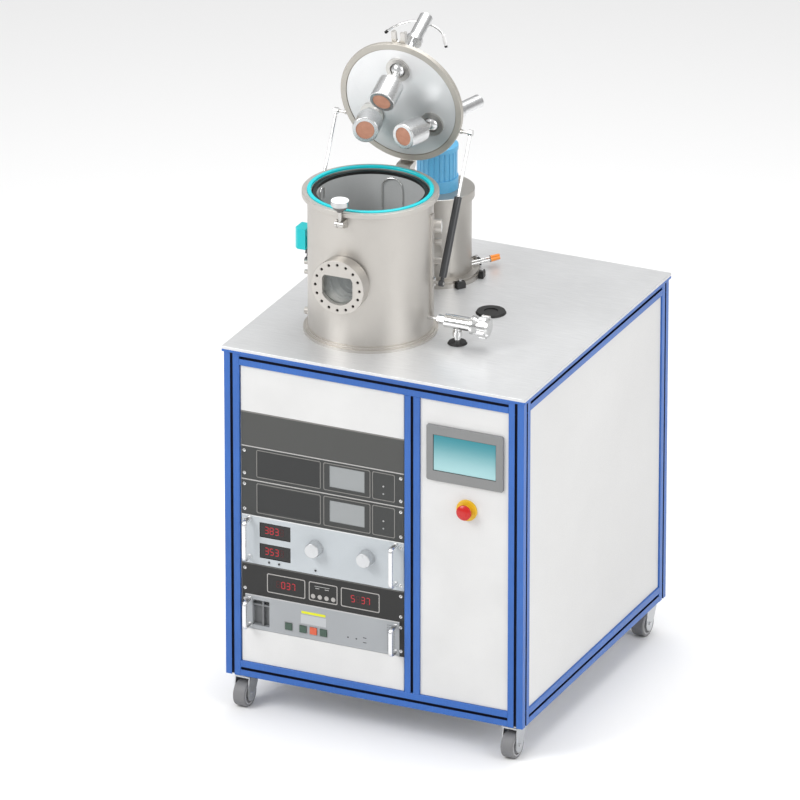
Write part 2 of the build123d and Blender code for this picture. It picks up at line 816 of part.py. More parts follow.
# Casters: top plate with its swivel race on the frame, forked swivel, wheel
plate_side = 70.0
plate_thickness = 3.0
race_diameter = 56.0
crown_length = 58.0
hub_recess = 54.0
hub_boss = 24.0
hub_recess_depth = 6.0
axle_end = 3.0
race_height = 6.0
king_pin = 10.0
caster_places = {
    "front_left": (-caster_x, -caster_y),
    "front_right": (caster_x, -caster_y),
    "rear_left": (-caster_x, caster_y),
    "rear_right": (caster_x, caster_y),
}
race_base = caster_height - plate_thickness - race_height
fork_crown = 4.0
fork_top = race_base - touch_gap
fork_wall = 3.0
fork_gap = 1.5
axle_z = caster_wheel_diameter / 2
with BuildPart() as caster_plates:
    with BuildSketch(Plane.XY.offset(caster_height - plate_thickness)):
        with Locations(*caster_places.values()):
            RectangleRounded(plate_side, plate_side, 5.0)
    extrude(amount=plate_thickness)
    with BuildSketch(Plane.XY.offset(race_base)):
        with Locations(*caster_places.values()):
            Circle(race_diameter / 2)
    extrude(amount=race_height)
    with BuildSketch(Plane.XY.offset(race_base)):
        with Locations(*caster_places.values()):
            Circle(king_pin / 2)
    extrude(amount=-(touch_gap + fork_crown - 0.3))
caster_plates.part.label = "caster_plates"
export_step(caster_plates.part, "parts/caster_plates.step")

heading_x = cos(radians(caster_heading))
heading_y = sin(radians(caster_heading))
wheel_half = caster_wheel_width / 2
leg_inner = wheel_half + fork_gap
for place, (plate_x, plate_y) in caster_places.items():
    axle_x = plate_x + caster_trail * heading_x
    axle_y = plate_y + caster_trail * heading_y
    # Local X runs along the heading, local Y up, and the normal along the axle
    side_view = Plane(
        origin=(axle_x, axle_y, axle_z), x_dir=(heading_x, heading_y, 0), z_dir=(heading_y, -heading_x, 0)
    )
    with BuildPart() as fork:
        with BuildSketch(Plane(origin=(plate_x, plate_y, fork_top), x_dir=(heading_x, heading_y, 0))):
            Circle(race_diameter / 2)
            Rectangle(crown_length, 2 * (leg_inner + fork_wall))
            Circle(king_pin / 2 + running_gap, mode=Mode.SUBTRACT)
        extrude(amount=-fork_crown)
        for side in (-1, 1):
            with BuildSketch(side_view.offset(side * (leg_inner + fork_wall / 2))):
                with BuildLine():
                    leg_top = fork_top - fork_crown / 2 - axle_z
                    Polyline((-43.0, leg_top), (13.0, leg_top), (21.0, 4.0))
                    ThreePointArc((21.0, 4.0), (10.0, -18.0), (-14.0, -15.0))
                    Polyline((-14.0, -15.0), (-41.0, leg_top - 14.0), (-43.0, leg_top))
                make_face()
                Circle(caster_axle / 2 + running_gap, mode=Mode.SUBTRACT)
            extrude(amount=fork_wall / 2, both=True)
    fork.part.label = f"caster_fork_{place}"
    export_step(fork.part, f"parts/caster_fork_{place}.step")

    with BuildPart() as wheel:
        with BuildSketch(side_view):
            Circle(caster_wheel_diameter / 2)
        extrude(amount=wheel_half, both=True)
        rims = wheel.edges().filter_by(GeomType.CIRCLE)
        fillet(rims, 3.5)
        for side in (-1, 1):
            with BuildSketch(side_view.offset(side * wheel_half)):
                Circle(hub_recess / 2)
                Circle(hub_boss / 2, mode=Mode.SUBTRACT)
            extrude(amount=-side * hub_recess_depth, mode=Mode.SUBTRACT)
        with BuildSketch(side_view):
            Circle(caster_axle / 2)
        extrude(amount=leg_inner + fork_wall + axle_end, both=True)
    wheel.part.label = f"caster_wheel_{place}"
    export_step(wheel.part, f"parts/caster_wheel_{place}.step")

# Chamber wall, with the ways through it to its ports
bar_angle = 8.0
bar_width = 18.0
bar_low = 50.0
bar_high = 351.0
bar_stand = 6.0
port_angle = 20.0
side_ports = ((301.0, 40.0, 34.0), (258.0, 16.0, 9.0), (202.0, 18.0, 10.0))
port_end = 192.0
port_cap = 3.0
pipe_stubs = ((173.0, 12.0), (145.0, 12.0), (32.0, 20.0))
pipe_stub_angle = 190.0
pipe_stub_stand = 14.0
gauge_port_height = 251.0
gauge_tube = 28.0
gauge_flange = 44.0
gauge_flange_thickness = 5.0
gauge_turn = 180.0
gauge_neck_end = 176.0
neck_front = chamber_radius + 2.0 + viewport_flange_thickness
duct_joint = chamber_y + chamber_radius + 34.0
duct_flange = 150.0
duct_flange_thickness = 16.0
duct_wall = 4.0
feedthrough_drop = 20.0
manual_start = chamber_radius - 8.0
wall_gap = 0.05
wall_cut = 30.0
wall_base = chamber_base + chamber_base_thickness + chamber_step_thickness + wall_gap
flange_base = chamber_top - chamber_flange_thickness
with BuildPart() as chamber_body:
    with BuildSketch(Plane.XY.offset(wall_base)):
        with Locations((chamber_x, chamber_y)):
            Circle(chamber_radius)
            Circle(chamber_bore / 2, mode=Mode.SUBTRACT)
    extrude(amount=flange_base - wall_gap - wall_base)
    with BuildSketch(front_plane(chamber_x, chamber_y, chamber_base + viewport_height)):
        Circle(viewport_window / 2)
    extrude(amount=neck_front, mode=Mode.SUBTRACT)
    for port_height, _, port_bore in side_ports:
        with BuildSketch(radial_plane(port_angle, chamber_radius + 1.0, chamber_base + port_height)):
            Circle(port_bore / 2)
        extrude(amount=-wall_cut, mode=Mode.SUBTRACT)
    with BuildSketch(Plane.XZ.offset(-duct_joint)):
        with Locations((chamber_x, chamber_base + duct_height)):
            Circle(duct_diameter / 2 - duct_wall)
    extrude(amount=2 * wall_cut, mode=Mode.SUBTRACT)
    with BuildSketch(radial_plane(0.0, manual_start, chamber_base + manual_valve_height)):
        Circle(manual_pipe / 2 + running_gap)
    extrude(amount=wall_cut, mode=Mode.SUBTRACT)
chamber_body.part.label = "chamber_body"
export_step(chamber_body.part, "parts/chamber_body.step")

# Top flange with the groove that the gasket lies in
with BuildPart() as chamber_flange:
    with BuildSketch(Plane.XY.offset(flange_base)):
        with Locations((chamber_x, chamber_y)):
            Circle(chamber_flange_diameter / 2)
            Circle(chamber_bore / 2, mode=Mode.SUBTRACT)
    extrude(amount=chamber_flange_thickness)
    outer_edges = chamber_flange.edges().filter_by(GeomType.CIRCLE).filter_by(
        lambda edge: abs(edge.radius - chamber_flange_diameter / 2) < 0.01
    )
    chamfer(outer_edges, 1.0)
    with BuildSketch(Plane.XY.offset(chamber_top - gasket_groove)):
        with Locations((chamber_x, chamber_y)):
            Circle(gasket_outer / 2 + touch_gap)
    extrude(amount=gasket_groove, mode=Mode.SUBTRACT)
chamber_flange.part.label = "chamber_flange"
export_step(chamber_flange.part, "parts/chamber_flange.step")

# Welded to the wall: viewport neck, side ports, gauge port, pipe stubs, duct and upright bars
with BuildPart() as wall_ports:
    with BuildSketch(front_plane(chamber_x, chamber_y, chamber_base + viewport_height)):
        Circle(viewport_tube / 2)
    extrude(amount=neck_front)
    with BuildSketch(
        front_plane(chamber_x, chamber_y - neck_front + viewport_flange_thickness, chamber_base + viewport_height)
    ):
        Circle(viewport_flange_diameter / 2 - 1.0)
    extrude(amount=viewport_flange_thickness)
    for port_height, port_outer, _ in side_ports:
        with BuildSketch(radial_plane(port_angle, chamber_radius - 15.0, chamber_base + port_height)):
            Circle(port_outer / 2)
        extrude(amount=port_end - chamber_radius + 15.0)
    with BuildSketch(radial_plane(gauge_turn, chamber_radius - 15.0, chamber_base + gauge_port_height)):
        Circle(gauge_tube / 2)
    extrude(amount=gauge_neck_end - chamber_radius + 15.0)
    with BuildSketch(
        radial_plane(gauge_turn, gauge_neck_end - gauge_flange_thickness, chamber_base + gauge_port_height)
    ):
        Circle(gauge_flange / 2)
    extrude(amount=gauge_flange_thickness)
    for stub_height, stub_outer in pipe_stubs:
        with BuildSketch(radial_plane(pipe_stub_angle, chamber_radius - 10.0, chamber_base + stub_height)):
            Circle(stub_outer / 2)
        extrude(amount=pipe_stub_stand + 10.0)
    with BuildSketch(Plane.XZ.offset(-duct_joint)):
        with Locations((chamber_x, chamber_base + duct_height)):
            Circle(duct_diameter / 2)
    extrude(amount=duct_joint - chamber_y)
    with BuildSketch(Plane.XZ.offset(-duct_joint)):
        with Locations((chamber_x, chamber_base + duct_height)):
            Circle(duct_flange / 2)
    extrude(amount=duct_flange_thickness)
    for bar_turn in (bar_angle, 180.0 - bar_angle):
        with BuildSketch(radial_plane(bar_turn, chamber_radius - 3.0, chamber_base)):
            with Locations((0, (bar_low + bar_high) / 2)):
                Rectangle(bar_width, bar_high - bar_low)
        extrude(amount=bar_stand + 3.0)
    # Cut to the curve of the wall, then bored
    with BuildSketch(Plane.XY.offset(chamber_base)):
        with Locations((chamber_x, chamber_y)):
            Circle(chamber_radius + wall_gap)
    extrude(amount=chamber_height, mode=Mode.SUBTRACT)
    with BuildSketch(front_plane(chamber_x, chamber_y, chamber_base + viewport_height)):
        Circle(viewport_window / 2)
    extrude(amount=neck_front, mode=Mode.SUBTRACT)
    with BuildSketch(front_plane(chamber_x, chamber_y - neck_front, chamber_base + viewport_height)):
        with PolarLocations(viewport_bolt_circle / 2, viewport_bolts_count):
            Circle(viewport_bolt / 2 + 0.2)
    extrude(amount=-viewport_flange_thickness + 6.0, mode=Mode.SUBTRACT)
    for port_height, _, port_bore in side_ports:
        with BuildSketch(radial_plane(port_angle, port_end - port_cap, chamber_base + port_height)):
            Circle(port_bore / 2)
        extrude(amount=-wall_cut, mode=Mode.SUBTRACT)
    with BuildSketch(Plane.XZ.offset(-duct_joint)):
        with Locations((chamber_x, chamber_base + duct_height)):
            Circle(duct_diameter / 2 - duct_wall)
    extrude(amount=2 * wall_cut, mode=Mode.SUBTRACT)

# Stepped base plate that the wall stands on, with the rotary feedthrough under it
with BuildPart() as base_plate:
    with BuildSketch(Plane.XY.offset(chamber_base)):
        with Locations((chamber_x, chamber_y)):
            Circle(chamber_base_diameter / 2)
    extrude(amount=chamber_base_thickness)
    with BuildSketch(Plane.XY.offset(chamber_base + chamber_base_thickness)):
        with Locations((chamber_x, chamber_y)):
            Circle(chamber_step_diameter / 2)
    extrude(amount=chamber_step_thickness)
    with BuildSketch(Plane.XY.offset(chamber_base)):
        with Locations((chamber_x, chamber_y)):
            Circle(stage_drive_diameter / 2)
    extrude(amount=-worktop_thickness - feedthrough_drop)
    with BuildSketch(Plane.XY.offset(chamber_base + chamber_floor)):
        with Locations((chamber_x, chamber_y)):
            Circle(chamber_bore / 2)
    extrude(amount=chamber_base_thickness + chamber_step_thickness - chamber_floor, mode=Mode.SUBTRACT)
    with BuildSketch(Plane.XY.offset(chamber_base + chamber_floor)):
        with Locations((chamber_x, chamber_y)):
            Circle(stage_shaft / 2 + running_gap)
    extrude(amount=-chamber_floor - worktop_thickness - feedthrough_drop, mode=Mode.SUBTRACT)

with BuildPart() as chamber_ports:
    add(wall_ports.part)
    add(base_plate.part)
chamber_ports.part.label = "chamber_ports"
export_step(chamber_ports.part, "parts/chamber_ports.step")

with BuildPart() as chamber_gasket:
    with BuildSketch(Plane.XY.offset(chamber_top - gasket_groove)):
        with Locations((chamber_x, chamber_y)):
            Circle(gasket_outer / 2)
            Circle(gasket_inner / 2 + 2.0, mode=Mode.SUBTRACT)
    extrude(amount=gasket_groove + gasket_stand)
    crown = chamber_gasket.faces().sort_by(Axis.Z)[-1].edges()
    fillet(crown, 2.0)
chamber_gasket.part.label = "chamber_gasket"
export_step(chamber_gasket.part, "parts/chamber_gasket.step")

# Liner: a removable sheet cylinder with a rim, a viewport cut-out and lifting loops of bent wire
liner_outer = chamber_bore / 2 - liner_gap
liner_inner = liner_outer - liner_rim_width
liner_wall_outer = liner_inner + liner_wall
liner_base = chamber_base + chamber_floor
liner_top_drop = 6.0
liner_rim_height = 8.0
loop_drop = 14.0
duct_mouth = 6.0
loops = ((90.0, 62.0, 96.0), (180.0, 26.0, 34.0), (0.0, 26.0, 34.0))
liner_top = chamber_top - liner_top_drop
with BuildPart() as chamber_liner:
    with BuildSketch(Plane.XY.offset(liner_base)):
        with Locations((chamber_x, chamber_y)):
            Circle(liner_wall_outer)
            Circle(liner_inner, mode=Mode.SUBTRACT)
    extrude(amount=liner_top - liner_base)
    with BuildSketch(Plane.XY.offset(liner_top - liner_rim_height)):
        with Locations((chamber_x, chamber_y)):
            Circle(liner_outer)
            Circle(liner_inner, mode=Mode.SUBTRACT)
    extrude(amount=liner_rim_height)
    with BuildSketch(front_plane(chamber_x, chamber_y, chamber_base + viewport_height)):
        Circle(viewport_window / 2)
    extrude(amount=chamber_radius, mode=Mode.SUBTRACT)
    with BuildSketch(Plane.XZ.offset(-chamber_y - chamber_radius)):
        with Locations((chamber_x, chamber_base + duct_height)):
            Circle(duct_diameter / 2 - duct_mouth)
    extrude(amount=chamber_radius, mode=Mode.SUBTRACT)
    for loop_turn, loop_width, loop_height in loops:
        wire_reach = sqrt((liner_inner - liner_wire / 2) ** 2 - (loop_width / 2) ** 2)
        wall = radial_plane(loop_turn, wire_reach, liner_top - loop_drop - loop_height)
        low_left = wall.from_local_coords(Vector(-loop_width / 2, 0, 0))
        high_left = wall.from_local_coords(Vector(-loop_width / 2, loop_height - loop_width / 2, 0))
        crown_point = wall.from_local_coords(Vector(0, loop_height, 0))
        high_right = wall.from_local_coords(Vector(loop_width / 2, loop_height - loop_width / 2, 0))
        low_right = wall.from_local_coords(Vector(loop_width / 2, 0, 0))
        with BuildLine() as loop_path:
            Line(low_left, high_left)
            ThreePointArc(high_left, crown_point, high_right)
            Line(high_right, low_right)
        with BuildSketch(Plane(origin=low_left, z_dir=(0, 0, 1))):
            Circle(liner_wire / 2)
        sweep(path=loop_path.line)
chamber_liner.part.label = "chamber_liner"
export_step(chamber_liner.part, "parts/chamber_liner.step")

# Rotating sample stage on its shaft through the floor
stage_top = chamber_base + stage_height
with BuildPart() as sample_stage:
    with BuildSketch(Plane.XY.offset(stage_top - stage_thickness)):
        with Locations((chamber_x, chamber_y)):
            Circle(stage_diameter / 2)
    extrude(amount=stage_thickness)
    with BuildSketch(Plane.XY.offset(chamber_base + chamber_floor + touch_gap)):
        with Locations((chamber_x, chamber_y)):
            Circle(stage_shaft)
    extrude(amount=stage_height - chamber_floor - touch_gap - stage_thickness, taper=8)
    with BuildSketch(Plane.XY.offset(stage_top)):
        with Locations((chamber_x, chamber_y)):
            with PolarLocations(stage_diameter / 3, stage_pockets):
                Circle(stage_pocket / 2)
    extrude(amount=-stage_pocket_depth, mode=Mode.SUBTRACT)
    with BuildSketch(Plane.XY.offset(stage_top - stage_thickness)):
        with Locations((chamber_x, chamber_y)):
            Circle(stage_shaft / 2)
    extrude(amount=-stage_height - worktop_thickness - feedthrough_drop)
sample_stage.part.label = "sample_stage"
export_step(sample_stage.part, "parts/sample_stage.step")

# Motor that turns the stage, under the worktop on the feedthrough
motor_collar = 24.0
motor_side = 57.0
drive_top = chamber_base - worktop_thickness - feedthrough_drop - touch_gap
with BuildPart() as stage_drive:
    with BuildSketch(Plane.XY.offset(drive_top)):
        with Locations((chamber_x, chamber_y)):
            Circle(stage_drive_diameter / 2)
    extrude(amount=-motor_collar)
    with BuildSketch(Plane.XY.offset(drive_top - motor_collar)):
        with Locations((chamber_x, chamber_y)):
            RectangleRounded(motor_side, motor_side, 4.0)
    extrude(amount=-stage_drive_height + motor_collar)
    with BuildSketch(Plane.XY.offset(drive_top)):
        with Locations((chamber_x, chamber_y)):
            Circle(stage_shaft / 2 + 0.5)
    extrude(amount=-feedthrough_drop, mode=Mode.SUBTRACT)
stage_drive.part.label = "stage_drive"
export_step(stage_drive.part, "parts/stage_drive.step")

# Viewport flange with its clipped round window, the glass behind it and its bolts
viewport_plane = front_plane(chamber_x, chamber_y - neck_front - 0.1, chamber_base + viewport_height)
glass_seat = viewport_window / 2 + 4.0
with BuildSketch() as window_shape:
    Circle(viewport_window / 2)
    with Locations((0, viewport_flat_top - viewport_window)):
        Rectangle(2 * viewport_flat_side, 2 * viewport_window, mode=Mode.INTERSECT)
with BuildPart() as viewport_flange:
    with BuildSketch(viewport_plane):
        Circle(viewport_flange_diameter / 2)
        with PolarLocations(viewport_bolt_circle / 2, viewport_bolts_count):
            Circle(viewport_bolt_hole / 2, mode=Mode.SUBTRACT)
    extrude(amount=viewport_flange_thickness)
    with BuildSketch(viewport_plane):
        add(window_shape.sketch)
    extrude(amount=viewport_flange_thickness, mode=Mode.SUBTRACT)
    with BuildSketch(viewport_plane):
        Circle(glass_seat)
    extrude(amount=viewport_glass_thickness, mode=Mode.SUBTRACT)
    rim_edges = viewport_flange.edges().filter_by(GeomType.CIRCLE).filter_by(
        lambda edge: abs(edge.radius - viewport_flange_diameter / 2) < 0.01
    )
    chamfer(rim_edges, 0.8)
viewport_flange.part.label = "viewport_flange"
export_step(viewport_flange.part, "parts/viewport_flange.step")

with BuildPart() as viewport_glass:
    with BuildSketch(viewport_plane.offset(0.1)):
        Circle(glass_seat - 0.2)
    extrude(amount=viewport_glass_thickness - 0.2)
viewport_glass.part.label = "viewport_glass"
export_step(viewport_glass.part, "parts/viewport_glass.step")

with BuildPart() as viewport_bolts:
    with BuildSketch(viewport_plane.offset(viewport_flange_thickness - viewport_bolt_drop)):
        with PolarLocations(viewport_bolt_circle / 2, viewport_bolts_count):
            Circle(viewport_bolt / 2)
    extrude(amount=-viewport_flange_thickness - viewport_bolt_grip)
    with BuildSketch(viewport_plane.offset(viewport_flange_thickness - viewport_bolt_drop)):
        with PolarLocations(viewport_bolt_circle / 2, viewport_bolts_count):
            RegularPolygon(viewport_hex, 6)
    extrude(amount=-viewport_hex_depth, mode=Mode.SUBTRACT)
viewport_bolts.part.label = "viewport_bolts"
export_step(viewport_bolts.part, "parts/viewport_bolts.step")

# Brackets on the chamber: hinge block behind it, strut feet at its sides, clamp clevis in front
strut_x = (chamber_x - strut_side, chamber_x + strut_side)
foot_y = chamber_y + strut_foot_y
foot_z = chamber_base + strut_foot_height
eye_inner = strut_side - strut_eye_width / 2
bar_face = sqrt((chamber_radius + bar_stand) ** 2 - strut_foot_y**2)
clamp_y = chamber_y - clamp_reach
clamp_z = chamber_top - clamp_pivot_drop
clevis_gap = 12.0
clevis_wall = 6.0
cheek_inner = hinge_leaf_width / 2 + touch_gap
with BuildPart() as chamber_brackets:
    for side in (-1, 1):
        with BuildSketch(Plane.YZ.offset(chamber_x + side * (cheek_inner + hinge_cheek / 2))):
            with BuildLine():
                wall_y = chamber_y + chamber_radius - 1.0
                Polyline(
                    (wall_y, hinge_z - 58.0),
                    (wall_y, hinge_z - 12.0),
                    (hinge_y - 8.0, hinge_z + 8.0),
                )
                ThreePointArc(
                    (hinge_y - 8.0, hinge_z + 8.0), (hinge_y + 8.0, hinge_z + 8.0), (hinge_y + 11.0, hinge_z - 3.0)
                )
                Polyline(
                    (hinge_y + 11.0, hinge_z - 3.0), (hinge_y + 4.0, hinge_z - 22.0), (wall_y, hinge_z - 58.0)
                )
            make_face()
            with Locations((hinge_y, hinge_z)):
                Circle(hinge_pin / 2 + running_gap, mode=Mode.SUBTRACT)
        extrude(amount=hinge_cheek / 2, both=True)
    with BuildSketch(Plane.YZ.offset(chamber_x)):
        with BuildLine():
            Polyline(
                (wall_y, hinge_z - 58.0),
                (wall_y, hinge_z - 30.0),
                (hinge_y - 6.0, hinge_z - 30.0),
                (wall_y, hinge_z - 58.0),
            )
        make_face()
    extrude(amount=cheek_inner + hinge_cheek, both=True)
    # Cut to the curve of the chamber wall and its flange
    with BuildSketch(Plane.XY.offset(chamber_base)):
        with Locations((chamber_x, chamber_y)):
            Circle(chamber_radius + wall_gap)
    extrude(amount=chamber_height, mode=Mode.SUBTRACT)
    with BuildSketch(Plane.XY.offset(chamber_top - chamber_flange_thickness - wall_gap)):
        with Locations((chamber_x, chamber_y)):
            Circle(chamber_flange_diameter / 2 + 2 * wall_gap)
    extrude(amount=2 * chamber_flange_thickness, mode=Mode.SUBTRACT)
    for side in (-1, 1):
        with BuildSketch(Plane.YZ.offset(chamber_x + side * (bar_face - 3.0))):
            with Locations((foot_y, foot_z)):
                Rectangle(16.0, 22.0)
        extrude(amount=side * 8.0)
        with BuildSketch(Plane.YZ.offset(chamber_x + side * bar_face)):
            with Locations((foot_y, foot_z)):
                Circle(strut_stud / 2)
        extrude(amount=side * (strut_side + strut_eye_width / 2 - bar_face + 1.0))
    for bar_turn in (bar_angle, 180.0 - bar_angle):
        with BuildSketch(radial_plane(bar_turn, 0, foot_z)):
            Rectangle(bar_width + 4.0, 2 * bar_width)
        extrude(amount=chamber_radius + bar_stand + 0.1, mode=Mode.SUBTRACT)
    # Clevis that holds the swing bolt's eye, with its pin
    for side in (-1, 1):
        with BuildSketch(Plane.YZ.offset(chamber_x + side * (clevis_gap + clevis_wall) / 2)):
            with Locations((clamp_y, clamp_z)):
                Circle(10.0)
            with BuildLine():
                Polyline(
                    (clamp_y, clamp_z + 10.0),
                    (chamber_y - chamber_radius - 0.2, clamp_z + 10.0),
                    (chamber_y - chamber_radius - 0.2, clamp_z - 16.0),
                    (clamp_y - 5.0, clamp_z - 8.66),
                    (clamp_y, clamp_z + 10.0),
                )
            make_face()
        extrude(amount=clevis_wall / 2, both=True)
    with BuildSketch(Plane.YZ.offset(chamber_x)):
        with Locations((clamp_y, clamp_z)):
            Circle(3.0)
    extrude(amount=clevis_gap / 2 + clevis_wall + 2.0, both=True)
chamber_brackets.part.label = "chamber_brackets"
export_step(chamber_brackets.part, "parts/chamber_brackets.step")

# Lid plate with a bright recess inside and three bored seats for the gun ports
gun_turns = (-90.0, 30.0, 150.0)
port_spigot = port_flange_diameter - 14.0
gun_spots = [(gun_circle * cos(radians(turn)), gun_circle * sin(radians(turn))) for turn in gun_turns]
with BuildPart() as lid:
    with BuildSketch(lid_plane):
        Circle(lid_diameter / 2)
    extrude(amount=lid_thickness)
    lid_rims = lid.edges().filter_by(GeomType.CIRCLE)
    chamfer(lid_rims, 1.0)
    with BuildSketch(lid_plane):
        Circle(lid_recess_diameter / 2)
    extrude(amount=lid_recess, mode=Mode.SUBTRACT)
    with BuildSketch(lid_plane):
        with Locations(*gun_spots):
            Circle(port_spigot / 2 + touch_gap)
    extrude(amount=lid_thickness, mode=Mode.SUBTRACT)
lid.part.label = "lid"
export_step(lid.part, "parts/lid.step")

# Fittings screwed to the lid: gun ports, hinge leaf with its pin, clamp fork, strut studs
port_inner_stand = 7.0
port_outer_stand = 8.0
ball_centre = lid_thickness / 2
fork_slot = 13.0
fork_width = 40.0
fork_thickness = 9.0
fork_slot_depth = 22.0
rib_width = 7.0
rib_height = 9.0
fork_reach = clamp_reach + 14.0
fork_start = lid_diameter / 2 - 18.0
leaf_start = lid_diameter / 2 - 34.0
leaf_thickness = 7.0
port_mouth = port_flange_diameter - 24.0
hinge_local_y = hinge_y - chamber_y
hinge_local_z = -hinge_drop
leaf_face = chamber_flange_diameter / 2 + 3.0
stud_collar = 13.0
stud_collar_length = 5.0
stud_seat = sqrt((lid_diameter / 2) ** 2 - (strut_lid_back - stud_collar / 2) ** 2) + 0.1
with BuildPart() as lid_fittings:
    for spot_x, spot_y in gun_spots:
        spot = Plane(origin=on_lid(spot_x, spot_y, 0), x_dir=(1, 0, 0), z_dir=lid_plane.z_dir)
        with BuildSketch(spot.offset(lid_recess - 0.05)):
            Circle(port_flange_diameter / 2)
        extrude(amount=-port_inner_stand)
        with BuildSketch(spot.offset(lid_thickness + 0.05)):
            Circle(port_flange_diameter / 2)
        extrude(amount=port_outer_stand)
        with BuildSketch(spot.offset(lid_recess - 0.05)):
            Circle(port_spigot / 2)
        extrude(amount=lid_thickness - lid_recess + 0.1)
        with BuildSketch(spot.offset(-port_inner_stand)):
            Circle(port_mouth / 2)
        extrude(amount=port_inner_stand + ball_centre - 8.0, mode=Mode.SUBTRACT)
        with BuildSketch(spot.offset(lid_thickness + port_outer_stand + 0.1)):
            Circle(port_mouth / 2)
        extrude(amount=-(lid_thickness + port_outer_stand - ball_centre - 8.0), mode=Mode.SUBTRACT)
        with Locations(Location(on_lid(spot_x, spot_y, ball_centre))):
            Sphere(gun_ball / 2 + ball_gap, mode=Mode.SUBTRACT)
    # Hinge leaf: a strap on the outer face that reaches down to the pin's barrel
    with BuildSketch(Plane.YZ.offset(chamber_x)) as leaf_side:
        strap = [
            on_lid(0, leaf_start, lid_thickness + butt_gap),
            on_lid(0, leaf_start, lid_thickness + leaf_thickness),
            on_lid(0, hinge_local_y - 2.0, lid_thickness + leaf_thickness),
            on_lid(0, hinge_local_y + hinge_barrel / 2, lid_thickness - 6.0),
            on_lid(0, hinge_local_y + hinge_barrel / 2, hinge_local_z),
            on_lid(0, hinge_local_y - hinge_barrel / 2, hinge_local_z),
            on_lid(0, leaf_face, hinge_local_z + 13.0),
            on_lid(0, leaf_face, lid_thickness + butt_gap),
            on_lid(0, leaf_start, lid_thickness + butt_gap),
        ]
        with BuildLine():
            Polyline(*[(corner.Y, corner.Z) for corner in strap])
        make_face()
        with Locations((hinge_y, hinge_z)):
            Circle(hinge_barrel / 2)
    extrude(amount=hinge_leaf_width / 2, both=True)
    with BuildSketch(Plane.YZ.offset(chamber_x)):
        with Locations((hinge_y, hinge_z)):
            Circle(hinge_pin / 2)
    extrude(amount=cheek_inner + hinge_cheek + 3.0, both=True)
    # Fork for the swing bolt, on the free edge
    fork_plane = Plane(origin=on_lid(0, 0, lid_thickness + 0.1), x_dir=(1, 0, 0), z_dir=lid_plane.z_dir)
    with BuildSketch(fork_plane):
        with Locations((0, -(fork_start + fork_reach) / 2)):
            Rectangle(fork_width, fork_reach - fork_start)
        with Locations((0, -fork_reach + fork_slot_depth / 2)):
            Rectangle(fork_slot, fork_slot_depth + 0.5, mode=Mode.SUBTRACT)
        with Locations((0, -fork_reach + fork_slot_depth)):
            Circle(fork_slot / 2, mode=Mode.SUBTRACT)
    extrude(amount=fork_thickness)
    for side in (-1, 1):
        with BuildSketch(
            Plane(
                origin=on_lid(side * (fork_width - rib_width) / 2, 0, 0),
                x_dir=lid_plane.y_dir,
                z_dir=(1, 0, 0),
            )
        ):
            with BuildLine():
                Polyline(
                    (-fork_reach + 2.0, lid_thickness + fork_thickness - 1.0),
                    (-fork_reach + 2.0, lid_thickness + fork_thickness - 1.0 + rib_height),
                    (-fork_start - 4.0, lid_thickness + fork_thickness - 1.0),
                    (-fork_reach + 2.0, lid_thickness + fork_thickness - 1.0),
                )
            make_face()
        extrude(amount=rib_width / 2, both=True)
    # Strut studs, screwed into the lid's rim
    for side in (-1, 1):
        stud_at = on_lid(side * stud_seat, strut_lid_back, lid_thickness / 2)
        with BuildSketch(Plane(origin=stud_at, x_dir=(0, 1, 0), z_dir=(side, 0, 0))):
            Circle(strut_stud / 2)
        extrude(amount=eye_inner - stud_seat - touch_gap)
        with BuildSketch(Plane(origin=stud_at, x_dir=(0, 1, 0), z_dir=(side, 0, 0))):
            Circle(stud_collar / 2)
        extrude(amount=stud_collar_length)
lid_fittings.part.label = "lid_fittings"
export_step(lid_fittings.part, "parts/lid_fittings.step")

